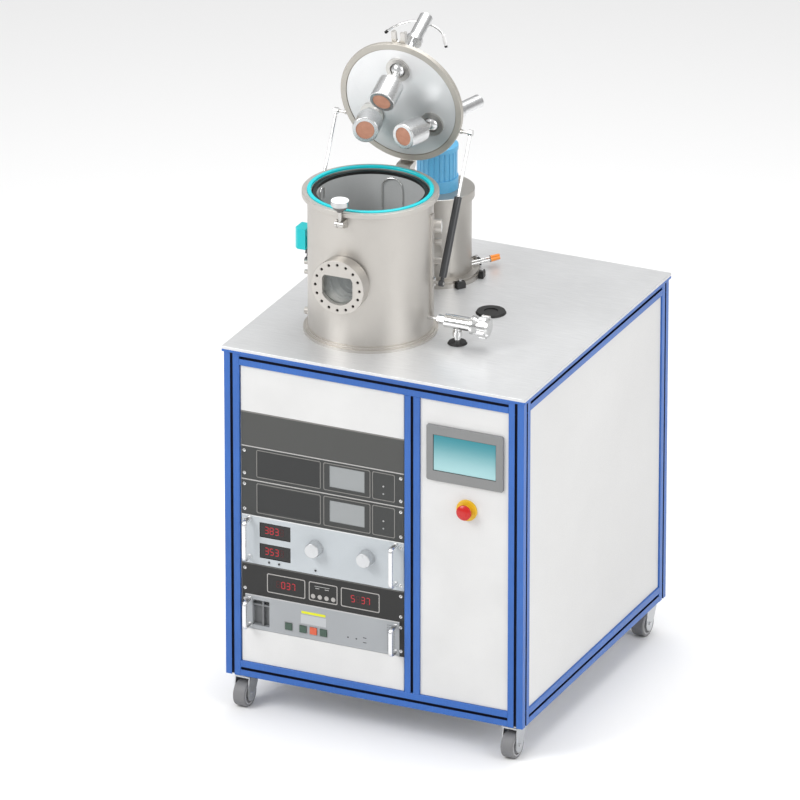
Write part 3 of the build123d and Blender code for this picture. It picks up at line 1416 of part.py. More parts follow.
# Sputter guns: head, tilting ball, shaft and tail on one axis that leans out from the lid's axis
for number, (turn, (spot_x, spot_y)) in enumerate(zip(gun_turns, gun_spots), start=1):
    lean_x = sin(radians(gun_tilt)) * cos(radians(turn))
    lean_y = sin(radians(gun_tilt)) * sin(radians(turn))
    gun_axis = along_lid(lean_x, lean_y, cos(radians(gun_tilt)))
    gun_plane = Plane(origin=on_lid(spot_x, spot_y, ball_centre), z_dir=gun_axis)
    head_base = gun_reach - gun_head_length
    with BuildPart() as gun:
        with BuildSketch(gun_plane.offset(-gun_reach)):
            Circle(gun_head_diameter / 2)
        extrude(amount=gun_head_length)
        head_rims = gun.edges().filter_by(GeomType.CIRCLE)
        fillet(head_rims, gun_edge)
        with BuildSketch(gun_plane.offset(-gun_reach)):
            Circle(target_diameter / 2 + touch_gap)
        extrude(amount=target_thickness, mode=Mode.SUBTRACT)
        with BuildSketch(gun_plane.offset(-head_base)):
            Circle(gun_neck / 2)
        extrude(amount=gun_neck_length)
        with BuildSketch(gun_plane.offset(-head_base)):
            Circle(gun_shaft / 2)
        extrude(amount=head_base + gun_tail_reach - 1.0)
        with Locations(Location(gun_plane.origin)):
            Sphere(gun_ball / 2)
        with BuildSketch(gun_plane.offset(gun_tail_reach - gun_tail_length)):
            Circle(gun_tail_diameter / 2)
        extrude(amount=gun_tail_length)
        tail_rim = gun.edges().filter_by(GeomType.CIRCLE).sort_by(
            Axis(gun_plane.origin, gun_plane.z_dir)
        )[-1]
        chamfer(tail_rim, 2.0)
        with BuildSketch(gun_plane.offset(gun_tail_reach - gun_tail_length - gun_collar_drop)):
            Circle(gun_collar_diameter / 2)
        extrude(amount=gun_collar_length)
    gun.part.label = f"sputter_gun_{number}"
    export_step(gun.part, f"parts/sputter_gun_{number}.step")

    with BuildPart() as target:
        with BuildSketch(gun_plane.offset(-gun_reach + target_stand)):
            Circle(target_diameter / 2)
        extrude(amount=target_thickness - target_stand)
    target.part.label = f"target_{number}"
    export_step(target.part, f"parts/target_{number}.step")

# Gas struts: each from its foot on the chamber to the stud on the lid
stud_y, stud_z = rotate_open(chamber_y + strut_lid_back, lid_face_z + lid_thickness / 2)
strut_length = hypot(stud_y - foot_y, stud_z - foot_z)
strut_way = Vector(0, (stud_y - foot_y) / strut_length, (stud_z - foot_z) / strut_length)
closed_y = chamber_y + strut_lid_back
closed_z = lid_face_z + lid_thickness / 2
closed_length = hypot(closed_y - foot_y, closed_z - foot_z)
cylinder_start = strut_eye_diameter / 2 - 2.0
rod_bore = strut_rod_diameter / 2 + running_gap
for side_name, eye_x in zip(("left", "right"), strut_x):
    strut_plane = Plane(origin=(eye_x, foot_y, foot_z), x_dir=(1, 0, 0), z_dir=strut_way)
    with BuildPart() as cylinder:
        with BuildSketch(Plane.YZ.offset(eye_x - strut_eye_width / 2)):
            with Locations((foot_y, foot_z)):
                Circle(strut_eye_diameter / 2)
        extrude(amount=strut_eye_width)
        with BuildSketch(strut_plane.offset(cylinder_start)):
            Circle(strut_rod_diameter / 2 + 1.0)
        extrude(amount=16.0)
        with BuildSketch(strut_plane.offset(cylinder_start + 10.0)):
            Circle(strut_cylinder_diameter / 2)
        extrude(amount=strut_cylinder_length - 10.0)
        cylinder_rims = cylinder.edges().filter_by(GeomType.CIRCLE).filter_by(
            lambda edge: abs(edge.radius - strut_cylinder_diameter / 2) < 0.01
        )
        fillet(cylinder_rims, 2.0)
        with BuildSketch(strut_plane.offset(cylinder_start + strut_cylinder_length)):
            Circle(rod_bore)
        extrude(amount=-strut_cylinder_length + 18.0, mode=Mode.SUBTRACT)
        with BuildSketch(Plane.YZ.offset(eye_x - strut_eye_width / 2)):
            with Locations((foot_y, foot_z)):
                Circle(strut_stud / 2 + running_gap)
        extrude(amount=strut_eye_width, mode=Mode.SUBTRACT)
    cylinder.part.label = f"strut_cylinder_{side_name}"
    export_step(cylinder.part, f"parts/strut_cylinder_{side_name}.step")

    rod_top = strut_length - strut_eye_diameter / 2 + 2.0
    rod_low = strut_length - closed_length + cylinder_start + 24.0
    with BuildPart() as rod:
        with BuildSketch(strut_plane.offset(rod_low)):
            Circle(strut_rod_diameter / 2)
        extrude(amount=rod_top - rod_low)
        with BuildSketch(Plane.YZ.offset(eye_x - strut_eye_width / 2)):
            with Locations((stud_y, stud_z)):
                Circle(strut_eye_diameter / 2)
        extrude(amount=strut_eye_width)
    rod.part.label = f"strut_rod_{side_name}"
    export_step(rod.part, f"parts/strut_rod_{side_name}.step")

# Swing bolt with its eye in the clevis, and the knob on its thread
knob_top = chamber_top + clamp_knob_stand
knob_base_z = knob_top - clamp_knob_height
with BuildPart() as clamp_swing_bolt:
    with BuildSketch(Plane.YZ.offset(chamber_x)):
        with Locations((clamp_y, clamp_z)):
            Circle(8.5)
    extrude(amount=clevis_gap / 2 - touch_gap, both=True)
    with BuildSketch(Plane.XY.offset(clamp_z)):
        with Locations((chamber_x, clamp_y)):
            Circle(clamp_bolt / 2)
    extrude(amount=knob_base_z + 24.0 - clamp_z)
    with BuildSketch(Plane.YZ.offset(chamber_x)):
        with Locations((clamp_y, clamp_z)):
            Circle(3.0 + running_gap)
    extrude(amount=clevis_gap, both=True, mode=Mode.SUBTRACT)
clamp_swing_bolt.part.label = "clamp_swing_bolt"
export_step(clamp_swing_bolt.part, "parts/clamp_swing_bolt.step")

with BuildPart() as clamp_knob:
    with BuildSketch(Plane.YZ.offset(chamber_x)) as knob_half:
        with BuildLine():
            Polyline(
                (clamp_y, knob_base_z),
                (clamp_y - 9.0, knob_base_z),
                (clamp_y - 11.0, knob_base_z + 5.0),
                (clamp_y - 18.0, knob_base_z + 9.0),
                (clamp_y - 22.0, knob_base_z + 17.0),
                (clamp_y - clamp_knob_diameter / 2, knob_base_z + 19.0),
                (clamp_y - clamp_knob_diameter / 2, knob_top - 2.0),
                (clamp_y - clamp_knob_diameter / 2 + 2.0, knob_top),
                (clamp_y, knob_top),
                (clamp_y, knob_base_z),
            )
        make_face()
    revolve(axis=Axis((chamber_x, clamp_y, 0), (0, 0, 1)))
    with BuildSketch(Plane.XY.offset(knob_base_z)):
        with Locations((chamber_x, clamp_y)):
            Circle(clamp_bolt / 2 + running_gap)
    extrude(amount=24.5, mode=Mode.SUBTRACT)
clamp_knob.part.label = "clamp_knob"
export_step(clamp_knob.part, "parts/clamp_knob.step")

# Gauge head on the left port: its flange, and a housing with one broad bevel at the front
gauge_depth = 33.0
gauge_width = 49.5
gauge_height = 59.0
gauge_front = 7.75
gauge_drop = 14.0
gauge_bevel = 9.0
gauge_edge = 2.0
gauge_start = gauge_neck_end + 0.1
gauge_inner = gauge_start + 3.0
gauge_outer = gauge_inner + gauge_depth
housing_front = gauge_front + gauge_width / 2
housing_back = gauge_front - gauge_width / 2
with BuildPart() as gauge_head:
    with BuildSketch(radial_plane(gauge_turn, gauge_start, chamber_base + gauge_port_height)):
        Circle(gauge_flange / 2)
    extrude(amount=gauge_flange_thickness)
    # Drawn from above: X leaves the chamber, Y runs towards the front
    housing_plane = Plane(
        origin=(chamber_x, chamber_y, chamber_base + gauge_port_height - gauge_drop - gauge_height / 2),
        x_dir=(cos(radians(gauge_turn)), sin(radians(gauge_turn)), 0),
    )
    with BuildSketch(housing_plane):
        with BuildLine():
            Polyline(
                (gauge_inner, housing_back),
                (gauge_inner, housing_front),
                (gauge_outer - gauge_bevel, housing_front),
                (gauge_outer, housing_front - gauge_bevel),
                (gauge_outer, housing_back + gauge_edge),
                (gauge_outer - gauge_edge, housing_back),
                close=True,
            )
        make_face()
    extrude(amount=gauge_height)
gauge_head.part.label = "gauge_head"
export_step(gauge_head.part, "parts/gauge_head.step")

# Manual angle valve on the chamber's right: pipe, nut, body, bonnet, and a port down to the grommet
valve_plane = radial_plane(0.0, manual_start, chamber_base + manual_valve_height)
pipe_end = 66.0 - chamber_x - manual_start
nut_length = 22.0
body_length = 78.0
bonnet_length = 25.0
with BuildPart() as manual_valve:
    with BuildSketch(valve_plane):
        Circle(manual_pipe / 2)
    extrude(amount=pipe_end + nut_length)
    with BuildSketch(valve_plane.offset(pipe_end)):
        RegularPolygon(13.0, 6)
    extrude(amount=9.0)
    with BuildSketch(valve_plane.offset(pipe_end + 11.0)):
        RegularPolygon(13.0, 6)
    extrude(amount=nut_length - 11.0)
    with BuildSketch(valve_plane.offset(pipe_end + 5.0)):
        Circle(9.0)
    extrude(amount=10.0)
    with BuildSketch(valve_plane.offset(pipe_end + nut_length)):
        Circle(manual_body / 2)
    extrude(amount=body_length)
    with BuildSketch(Plane.XY.offset(worktop_top + 0.5)):
        with Locations(small_grommet):
            Circle(9.0)
    extrude(amount=manual_valve_height)
    with BuildSketch(Plane.XY.offset(worktop_top + 22.0)):
        with Locations(small_grommet):
            Circle(13.0)
    extrude(amount=14.0)
    with BuildSketch(valve_plane.offset(pipe_end + nut_length + body_length)):
        Circle(manual_body / 2 + 7.0)
    extrude(amount=8.0)
    with BuildSketch(valve_plane.offset(pipe_end + nut_length + body_length + 8.0)):
        Circle(manual_body / 2 + 6.0)
    extrude(amount=bonnet_length - 8.0, taper=28)
    with BuildSketch(valve_plane.offset(pipe_end + nut_length + body_length)):
        Circle(5.0)
    extrude(amount=bonnet_length + 20.0)
manual_valve.part.label = "manual_valve"
export_step(manual_valve.part, "parts/manual_valve.step")

# Scalloped handwheel on the valve's spindle
wheel_start = pipe_end + nut_length + body_length + bonnet_length + 1.0
with BuildPart() as valve_handwheel:
    with BuildSketch(valve_plane.offset(wheel_start)):
        Circle(manual_wheel / 2)
        with PolarLocations(manual_wheel / 2 + 5.0, 8):
            Circle(9.0, mode=Mode.SUBTRACT)
    extrude(amount=20.0)
    with BuildSketch(valve_plane.offset(wheel_start + 20.0)):
        Circle(manual_wheel / 2 - 7.0)
    extrude(amount=5.0, taper=40)
    with BuildSketch(valve_plane.offset(wheel_start)):
        Circle(5.0 + running_gap)
    extrude(amount=20.0, mode=Mode.SUBTRACT)
valve_handwheel.part.label = "valve_handwheel"
export_step(valve_handwheel.part, "parts/valve_handwheel.step")

# Rubber grommets in the worktop
grommet_stand = 6.0
grommet_drop = 3.0
big_grommet_dish = 38.0
port_down = 18.0
with BuildPart() as grommets:
    for (ring_x, ring_y), ring_diameter in (
        (small_grommet, small_grommet_diameter),
        (big_grommet, big_grommet_diameter),
    ):
        with BuildSketch(Plane.XY.offset(worktop_top)):
            with Locations((ring_x, ring_y)):
                Circle(ring_diameter / 2)
        extrude(amount=grommet_stand, taper=30)
        with BuildSketch(Plane.XY.offset(worktop_top)):
            with Locations((ring_x, ring_y)):
                Circle(ring_diameter / 2 * grommet_hole_share - touch_gap)
        extrude(amount=-worktop_thickness - grommet_drop)
    with BuildSketch(Plane.XY.offset(worktop_top + grommet_stand)):
        with Locations(small_grommet):
            Circle(port_down / 2 + butt_gap)
    extrude(amount=-worktop_thickness - grommet_stand - grommet_drop, mode=Mode.SUBTRACT)
    with BuildSketch(Plane.XY.offset(worktop_top + grommet_stand)):
        with Locations(big_grommet):
            Circle(big_grommet_dish / 2)
    extrude(amount=-grommet_stand / 2, mode=Mode.SUBTRACT)
grommets.part.label = "grommets"
export_step(grommets.part, "parts/grommets.step")

# High vacuum valve housing: table flange, body with the duct inlet, cap
claw_count = 8
claw_width = 26.0
with BuildPart() as valve_housing:
    with BuildSketch(Plane.XY.offset(worktop_top)):
        with Locations((chamber_x, valve_y)):
            Circle(valve_flange_diameter / 2)
    extrude(amount=valve_flange_thickness)
    with BuildSketch(Plane.XY.offset(worktop_top + valve_flange_thickness)):
        with Locations((chamber_x, valve_y)):
            Circle(valve_flange_diameter / 2 - 5.0)
    extrude(amount=valve_flange_thickness / 2)
    with BuildSketch(Plane.XY.offset(worktop_top)):
        with Locations((chamber_x, valve_y)):
            Circle(valve_diameter / 2)
    extrude(amount=valve_height - valve_cap_thickness)
    with BuildSketch(Plane.XY.offset(worktop_top + valve_height - valve_cap_thickness)):
        with Locations((chamber_x, valve_y)):
            Circle(valve_cap_diameter / 2)
    extrude(amount=valve_cap_thickness)
    cap_rim = valve_housing.faces().sort_by(Axis.Z)[-1].edges()
    fillet(cap_rim, 2.0)
    with BuildSketch(Plane.XZ.offset(-duct_joint - 0.1)):
        with Locations((chamber_x, worktop_top + duct_height)):
            Circle(duct_diameter / 2)
    extrude(amount=-(valve_y - duct_joint - 0.1))
    with BuildSketch(Plane.XZ.offset(-duct_joint - 0.1)):
        with Locations((chamber_x, worktop_top + duct_height)):
            Circle(duct_flange / 2)
    extrude(amount=-duct_flange_thickness)
    with BuildSketch(Plane.XZ.offset(-duct_joint - 0.1)):
        with Locations((chamber_x, worktop_top + duct_height)):
            Circle(duct_diameter / 2 - 4.0)
    extrude(amount=-90.0, mode=Mode.SUBTRACT)
# Claw clamps round the table flange
with BuildPart() as claw_clamps:
    with BuildSketch(Plane.XY.offset(worktop_top + 0.1)):
        with Locations((chamber_x, valve_y)):
            with PolarLocations(valve_flange_diameter / 2 + 7.0, claw_count, start_angle=10):
                Rectangle(13.6, claw_width)
    extrude(amount=valve_flange_thickness + 2.0)
    with BuildSketch(Plane.XY.offset(worktop_top + valve_flange_thickness + 0.1)):
        with Locations((chamber_x, valve_y)):
            with PolarLocations(valve_flange_diameter / 2 + 5.0, claw_count, start_angle=10):
                Rectangle(17.6, claw_width)
    extrude(amount=8.0, taper=12)
    with BuildSketch(Plane.XY.offset(worktop_top + valve_flange_thickness)):
        with Locations((chamber_x, valve_y)):
            with PolarLocations(valve_flange_diameter / 2 + 5.0, claw_count, start_angle=10):
                RegularPolygon(6.0, 6)
    extrude(amount=13.0)
    with BuildSketch(Plane.XY.offset(worktop_top)):
        with Locations((chamber_x, valve_y)):
            Circle(valve_flange_diameter / 2 + 0.1)
    extrude(amount=valve_flange_thickness + 0.1, mode=Mode.SUBTRACT)
    with BuildSketch(Plane.XY.offset(worktop_top)):
        with Locations((chamber_x, valve_y)):
            Circle(valve_flange_diameter / 2 - 4.9)
    extrude(amount=valve_flange_thickness * 1.5 + 0.1, mode=Mode.SUBTRACT)

with BuildPart() as vacuum_valve:
    add(valve_housing.part)
    add(claw_clamps.part)
vacuum_valve.part.label = "vacuum_valve"
export_step(vacuum_valve.part, "parts/vacuum_valve.step")

# Pneumatic actuator on the cap: a smooth band below, a ribbed cylinder above, a lid on top
actuator_base = worktop_top + valve_height
band_height = 34.0
rib_count = 24
with BuildPart() as valve_actuator:
    with BuildSketch(Plane.XY.offset(actuator_base)):
        with Locations((chamber_x, valve_y)):
            Circle(actuator_diameter / 2)
    extrude(amount=band_height)
    with BuildSketch(Plane.XY.offset(actuator_base + band_height)):
        with Locations((chamber_x, valve_y)):
            Circle(actuator_diameter / 2 - 3.0)
            with PolarLocations(actuator_diameter / 2 - 2.0, rib_count):
                Circle(3.2, mode=Mode.SUBTRACT)
    extrude(amount=actuator_height - band_height - 14.0)
    with BuildSketch(Plane.XY.offset(actuator_base + actuator_height - 14.0)):
        with Locations((chamber_x, valve_y)):
            Circle(actuator_diameter / 2)
    extrude(amount=14.0)
    actuator_rim = valve_actuator.faces().sort_by(Axis.Z)[-1].edges()
    fillet(actuator_rim, 3.0)
    with BuildSketch(Plane.XY.offset(actuator_base + actuator_height)):
        with Locations((chamber_x, valve_y)):
            Circle(14.0)
    extrude(amount=6.0)
valve_actuator.part.label = "valve_actuator"
export_step(valve_actuator.part, "parts/valve_actuator.step")

# Cooling nipples beside the table flange, with their protective caps
nipple_angle = 58.0
nipple_tube = 6.0
nipple_length = 66.0
nipple_cap = 11.0
nipple_z = worktop_top + 24.0
nipple_cap_length = 30.0
nipple_cap_grip = 20.0
nipple_root = valve_diameter / 2 - 4.0
nipple_starts = (22.0, 34.0)
with BuildPart() as nipple_tubes:
    for nipple_turn in nipple_starts:
        start = Plane(
            origin=(
                chamber_x + nipple_root * cos(radians(nipple_turn)),
                valve_y + nipple_root * sin(radians(nipple_turn)),
                nipple_z,
            ),
            z_dir=(cos(radians(nipple_angle)), sin(radians(nipple_angle)), 0),
        )
        with BuildSketch(start):
            Circle(nipple_tube / 2)
        extrude(amount=nipple_length + nipple_cap_grip)
    with BuildSketch(Plane.XY.offset(worktop_top)):
        with Locations((chamber_x, valve_y)):
            Circle(valve_diameter / 2 + 0.1)
    extrude(amount=valve_height, mode=Mode.SUBTRACT)

with BuildPart() as nipple_caps:
    for nipple_turn in nipple_starts:
        start = Plane(
            origin=(
                chamber_x + nipple_root * cos(radians(nipple_turn)),
                valve_y + nipple_root * sin(radians(nipple_turn)),
                nipple_z,
            ),
            z_dir=(cos(radians(nipple_angle)), sin(radians(nipple_angle)), 0),
        )
        with BuildSketch(start.offset(nipple_length)):
            Circle(nipple_cap / 2)
        extrude(amount=nipple_cap_length, taper=2)
        with BuildSketch(start.offset(nipple_length)):
            Circle(nipple_tube / 2 + 0.1)
        extrude(amount=nipple_cap_grip + 0.5, mode=Mode.SUBTRACT)

with BuildPart() as coolant_nipples:
    add(nipple_tubes.part)
    add(nipple_caps.part)
coolant_nipples.part.label = "coolant_nipples"
export_step(coolant_nipples.part, "parts/coolant_nipples.step")

# Turbomolecular pump under the worktop, with its foreline to the roughing port in the rear panel
foreline_end = panel_front + front_reach
turbo_top = worktop_top - 0.1
with BuildPart() as turbo_pump:
    with BuildSketch(Plane.XY.offset(turbo_top)):
        with Locations((chamber_x, valve_y)):
            Circle(turbo_diameter / 2)
    extrude(amount=-turbo_height)
    for groove in range(5):
        with BuildSketch(Plane.XY.offset(frame_top - 60.0 - 18.0 * groove)):
            with Locations((chamber_x, valve_y)):
                Circle(turbo_diameter / 2 + 1.0)
                Circle(turbo_diameter / 2 - 6.0, mode=Mode.SUBTRACT)
        extrude(amount=-8.0, mode=Mode.SUBTRACT)
    foreline_x = chamber_x
    elbow_z = roughing_height
    with BuildLine() as foreline:
        FilletPolyline(
            (foreline_x, valve_y, turbo_top - turbo_height),
            (foreline_x, valve_y, elbow_z),
            (foreline_x, foreline_end, elbow_z),
            radius=60.0,
        )
    with BuildSketch(Plane.XY.offset(turbo_top - turbo_height)):
        with Locations((foreline_x, valve_y)):
            Circle(roughing_tube / 2)
    sweep(path=foreline.line)
    with BuildSketch(Plane.XZ.offset(-foreline_end)):
        with Locations((foreline_x, elbow_z)):
            Circle(roughing_flange / 2)
    extrude(amount=5.0)
    with BuildSketch(Plane.XZ.offset(-foreline_end)):
        with Locations((foreline_x, elbow_z)):
            Circle(roughing_bore / 2)
    extrude(amount=60.0, mode=Mode.SUBTRACT)
turbo_pump.part.label = "turbo_pump"
export_step(turbo_pump.part, "parts/turbo_pump.step")
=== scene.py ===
import math

import bmesh
import bpy
from mathutils import Matrix, Vector


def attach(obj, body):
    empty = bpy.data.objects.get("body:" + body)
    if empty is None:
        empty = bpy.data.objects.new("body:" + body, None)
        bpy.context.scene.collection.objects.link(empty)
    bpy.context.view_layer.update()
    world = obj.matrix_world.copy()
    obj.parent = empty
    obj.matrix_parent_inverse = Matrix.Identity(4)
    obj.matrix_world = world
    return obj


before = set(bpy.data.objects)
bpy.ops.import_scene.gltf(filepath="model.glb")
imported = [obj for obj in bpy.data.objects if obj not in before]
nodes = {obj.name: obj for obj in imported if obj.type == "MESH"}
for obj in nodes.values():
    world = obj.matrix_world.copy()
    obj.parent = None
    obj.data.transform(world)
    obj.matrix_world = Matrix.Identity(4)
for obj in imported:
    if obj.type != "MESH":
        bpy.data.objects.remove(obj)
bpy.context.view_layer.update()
scene = bpy.context.scene
print("frame loaded,", len(nodes), "nodes")


# shader sums
class Wire:
    # wraps a shader socket, so that 1 - mask * 0.3 adds its own Math nodes
    def __init__(self, tree, socket):
        self.tree = tree
        self.socket = socket

    def add(self, kind, settings=None, inputs=None, out=0):
        node = self.tree.nodes.new(kind)
        for key, value in (settings or {}).items():
            if key == "stops":
                ramp = node.color_ramp
                while len(ramp.elements) < len(value):
                    ramp.elements.new(0.5)
                for element, (place, shade) in zip(ramp.elements, value):
                    element.position = place
                    element.color = shade if len(shade) == 4 else (*shade, 1.0)
            elif key == "smooth":
                node.color_ramp.interpolation = value
            else:
                setattr(node, key, value)
        for key, value in (inputs or {}).items():
            if isinstance(value, Wire):
                self.tree.links.new(value.socket, node.inputs[key])
            elif value is not None:
                node.inputs[key].default_value = value
        return Wire(self.tree, node.outputs[out])

    def math(self, operation, a, b=None, clamp=False):
        return self.add("ShaderNodeMath", {"operation": operation, "use_clamp": clamp}, {0: a, 1: b})

    def __add__(self, other):
        return self.math("ADD", self, other)

    def __radd__(self, other):
        return self.math("ADD", other, self)

    def __sub__(self, other):
        return self.math("SUBTRACT", self, other)

    def __rsub__(self, other):
        return self.math("SUBTRACT", other, self)

    def __mul__(self, other):
        return self.math("MULTIPLY", self, other)

    def __rmul__(self, other):
        return self.math("MULTIPLY", other, self)

    def __lt__(self, other):
        return self.math("LESS_THAN", self, other)

    def __gt__(self, other):
        return self.math("GREATER_THAN", self, other)

    def __abs__(self):
        return self.math("ABSOLUTE", self)

    def root(self):
        return self.math("SQRT", self)

    def lower(self, other):
        return self.math("MINIMUM", self, other)

    def clamped(self):
        return self.math("ADD", self, 0.0, clamp=True)

    def fade(self, low, high):
        return self.add("ShaderNodeMapRange", {"interpolation_type": "SMOOTHSTEP"},
                        {0: self, 1: low, 2: high, 3: 0.0, 4: 1.0})

    def ramp(self, stops, smooth="LINEAR"):
        return self.add("ShaderNodeValToRGB", {"smooth": smooth, "stops": stops}, {0: self})

    def blend(self, first, second):
        # this wire is the factor; sockets 6 and 7 are the colours, output 2 is the colour
        first = first if isinstance(first, Wire) else rgba(first)
        second = second if isinstance(second, Wire) else rgba(second)
        return self.add("ShaderNodeMix", {"data_type": "RGBA", "blend_type": "MIX"},
                        {0: self, 6: first, 7: second}, out=2)

    def noise(self, scale, detail=3.0, roughness=0.5, stretch=None):
        spot = self
        if stretch:
            spot = self.add("ShaderNodeVectorMath", {"operation": "MULTIPLY"}, {0: self, 1: stretch})
        return self.add("ShaderNodeTexNoise", None,
                        {"Vector": spot, "Scale": scale, "Detail": detail, "Roughness": roughness})

    def parts(self):
        node = self.tree.nodes.new("ShaderNodeSeparateXYZ")
        self.tree.links.new(self.socket, node.inputs[0])
        return [Wire(self.tree, out) for out in node.outputs]


def rgba(colour):
    return (*colour, 1.0) if len(colour) == 3 else tuple(colour)


def finish(name, build, fixed=None):
    # build(spot, normal) gives the sockets that vary; fixed holds the shader's own constants
    made = bpy.data.materials.new(name)
    made.use_nodes = True
    tree = made.node_tree
    shader = tree.nodes["Principled BSDF"]
    for key, value in (fixed or {}).items():
        shader.inputs[key].default_value = rgba(value) if isinstance(value, tuple) else value
    place = tree.nodes.new("ShaderNodeTexCoord")
    spot = Wire(tree, place.outputs["Object"])
    normal = Wire(tree, place.outputs["Normal"])
    for key, value in build(spot, normal).items():
        if key == "bump":
            height, distance, strength = value
            value = spot.add("ShaderNodeBump", None, {"Height": height, "Distance": distance, "Strength": strength})
            key = "Normal"
        if isinstance(value, Wire):
            tree.links.new(value.socket, shader.inputs[key])
        else:
            shader.inputs[key].default_value = rgba(value) if isinstance(value, tuple) else value
    return made


# finishes
def inside(value, middle, width):
    return abs(value - middle) < width / 2


def powderCoat(name, colour, rough=0.42, grain=1400.0, depth=0.00006, speckle=0.05):
    def build(spot, normal):
        fine = spot.noise(grain, 2.0, 0.6)
        broad = spot.noise(3.0, 3.0)
        shade = (fine * 0.7 + broad * 0.3).fade(0.35, 0.65)
        dark = tuple(c * (1.0 - speckle) for c in colour)
        light = tuple(min(1.0, c * (1.0 + speckle * 0.6)) for c in colour)
        return {
            "Base Color": shade.blend(dark, light),
            "Roughness": rough + (fine - 0.5) * 0.16,
            "bump": (fine, depth, 0.45),
        }
    return finish(name, build, {"Metallic": 0.0, "Specular IOR Level": 0.5})


def satinMetal(name, colour, rough=0.35, scale=900.0, spread=0.10, metal=1.0, tint=0.06):
    def build(spot, normal):
        marks = spot.noise(scale, 3.0, 0.6)
        cloud = spot.noise(9.0, 4.0, 0.55)
        shade = (marks * 0.6 + cloud * 0.4).fade(0.3, 0.7)
        dark = tuple(c * (1.0 - tint) for c in colour)
        light = tuple(min(1.0, c * (1.0 + tint)) for c in colour)
        return {
            "Base Color": shade.blend(dark, light),
            "Roughness": rough + (marks - 0.5) * spread + (cloud - 0.5) * spread * 0.6,
            "bump": (marks, 0.00003, 0.35),
        }
    return finish(name, build, {"Metallic": metal})


def blueExtrusion(name, edges, angles):
    # blue on the bars' outer faces, painted shade near black down in their slots, zinc on the rack angles
    def build(spot, normal):
        x, y, z = spot.parts()
        nx, ny, nz = normal.parts()

        def near(value, planes):
            gap = abs(value - planes[0])
            for plane in planes[1:]:
                gap = gap.lower(abs(value - plane))
            return gap < 0.0017

        onX = near(x, edges["x"])
        onY = near(y, edges["y"])
        onZ = near(z, edges["z"])
        flatX = onX * (abs(nx) > 0.9)
        flatY = onY * (abs(ny) > 0.9)
        flatZ = onZ * (abs(nz) > 0.9)
        rounded = ((onX + onY + onZ) > 1.5).lower(1.0)
        outer = (flatX + flatY + flatZ + rounded).clamped()
        rim = ((z > edges["trim"][0]) * (z < edges["trim"][1])).clamped() * (
            ((abs(x) > edges["trim"][2]) + (abs(y) > edges["trim"][3])).clamped()
        )
        outer = (outer + rim).clamped()
        draw = spot.noise(700.0, 3.0, 0.6, (1.0, 1.0, 0.04))
        cloud = spot.noise(5.0, 3.0)
        blue = (draw * 0.5 + cloud * 0.5).fade(0.3, 0.7).blend((0.014, 0.100, 0.385), (0.021, 0.130, 0.48))
        angle = inside(x, angles["x"], angles["wide"]) * (y < angles["front"])
        angle = angle * inside(z, angles["z"], angles["tall"])
        return {
            # painted shade: faces off the outer planes, down in the slots, are coloured near black
            "Base Color": angle.blend(outer.blend((0.002, 0.006, 0.035), blue), (0.5, 0.51, 0.52)),
            "Roughness": 0.34 + (draw - 0.5) * 0.12 + (1.0 - outer) * 0.3,
            "bump": (draw, 0.00004, 0.3),
        }
    return finish(name, build, {"Metallic": 0.0, "Coat Weight": 0.15, "Coat Roughness": 0.2})


def brushedTop(name):
    def build(spot, normal):
        long = spot.noise(1500.0, 3.0, 0.65, (0.012, 1.0, 1.0))
        short = spot.noise(420.0, 2.0, 0.5, (0.05, 1.0, 1.0))
        cloud = spot.noise(3.5, 4.0, 0.6)
        shade = (long * 0.45 + short * 0.35 + cloud * 0.2).fade(0.34, 0.66)
        return {
            "Base Color": shade.blend((0.62, 0.625, 0.63), (0.73, 0.735, 0.74)),
            "Roughness": 0.36 + (short - 0.5) * 0.16 + (cloud - 0.5) * 0.10,
            "bump": (long * 0.6 + short * 0.4, 0.00003, 0.35),
        }
    return finish(name, build, {"Metallic": 0.5})


def copperTarget(name):
    def build(spot, normal):
        fine = spot.noise(1600.0, 3.0, 0.6)
        cloud = spot.noise(60.0, 3.0, 0.6)
        return {
            "Base Color": (fine * 0.4 + cloud * 0.6).fade(0.3, 0.7).blend((0.50, 0.235, 0.155), (0.62, 0.32, 0.22)),
            "Roughness": 0.62 + (fine - 0.5) * 0.2,
            "bump": (fine, 0.00004, 0.5),
        }
    return finish(name, build, {"Metallic": 0.25})


def clearGlass(name):
    def build(spot, normal):
        smear = spot.noise(40.0, 3.0)
        return {"Roughness": 0.03 + (smear - 0.4).clamped() * 0.08, "Base Color": (0.86, 0.92, 0.92)}
    return finish(name, build, {"Transmission Weight": 0.9, "IOR": 1.45, "Alpha": 0.55})


def patchwork(name, base, patches, rough=0.42, grain=1400.0, metal=0.0):
    # patches go over the base one by one, each a mask, a colour, a roughness and a metallic value
    def build(spot, normal):
        fine = spot.noise(grain, 2.0, 0.6)
        cloud = spot.noise(7.0, 3.0)
        shade = (fine * 0.6 + cloud * 0.4).fade(0.3, 0.7)
        colour = shade.blend(tuple(c * 0.93 for c in base), tuple(min(1.0, c * 1.05) for c in base))
        dull = rough + (fine - 0.5) * 0.14
        shine = metal
        for mask, tint, roughHere, metalHere in patches(spot, normal):
            colour = mask.blend(colour, tint)
            dull = dull * (1.0 - mask) + mask * roughHere
            shine = shine * (1.0 - mask) + mask * metalHere
        return {"Base Color": colour, "Roughness": dull, "Metallic": shine, "bump": (fine, 0.00004, 0.4)}
    return finish(name, build, {"Specular IOR Level": 0.5})


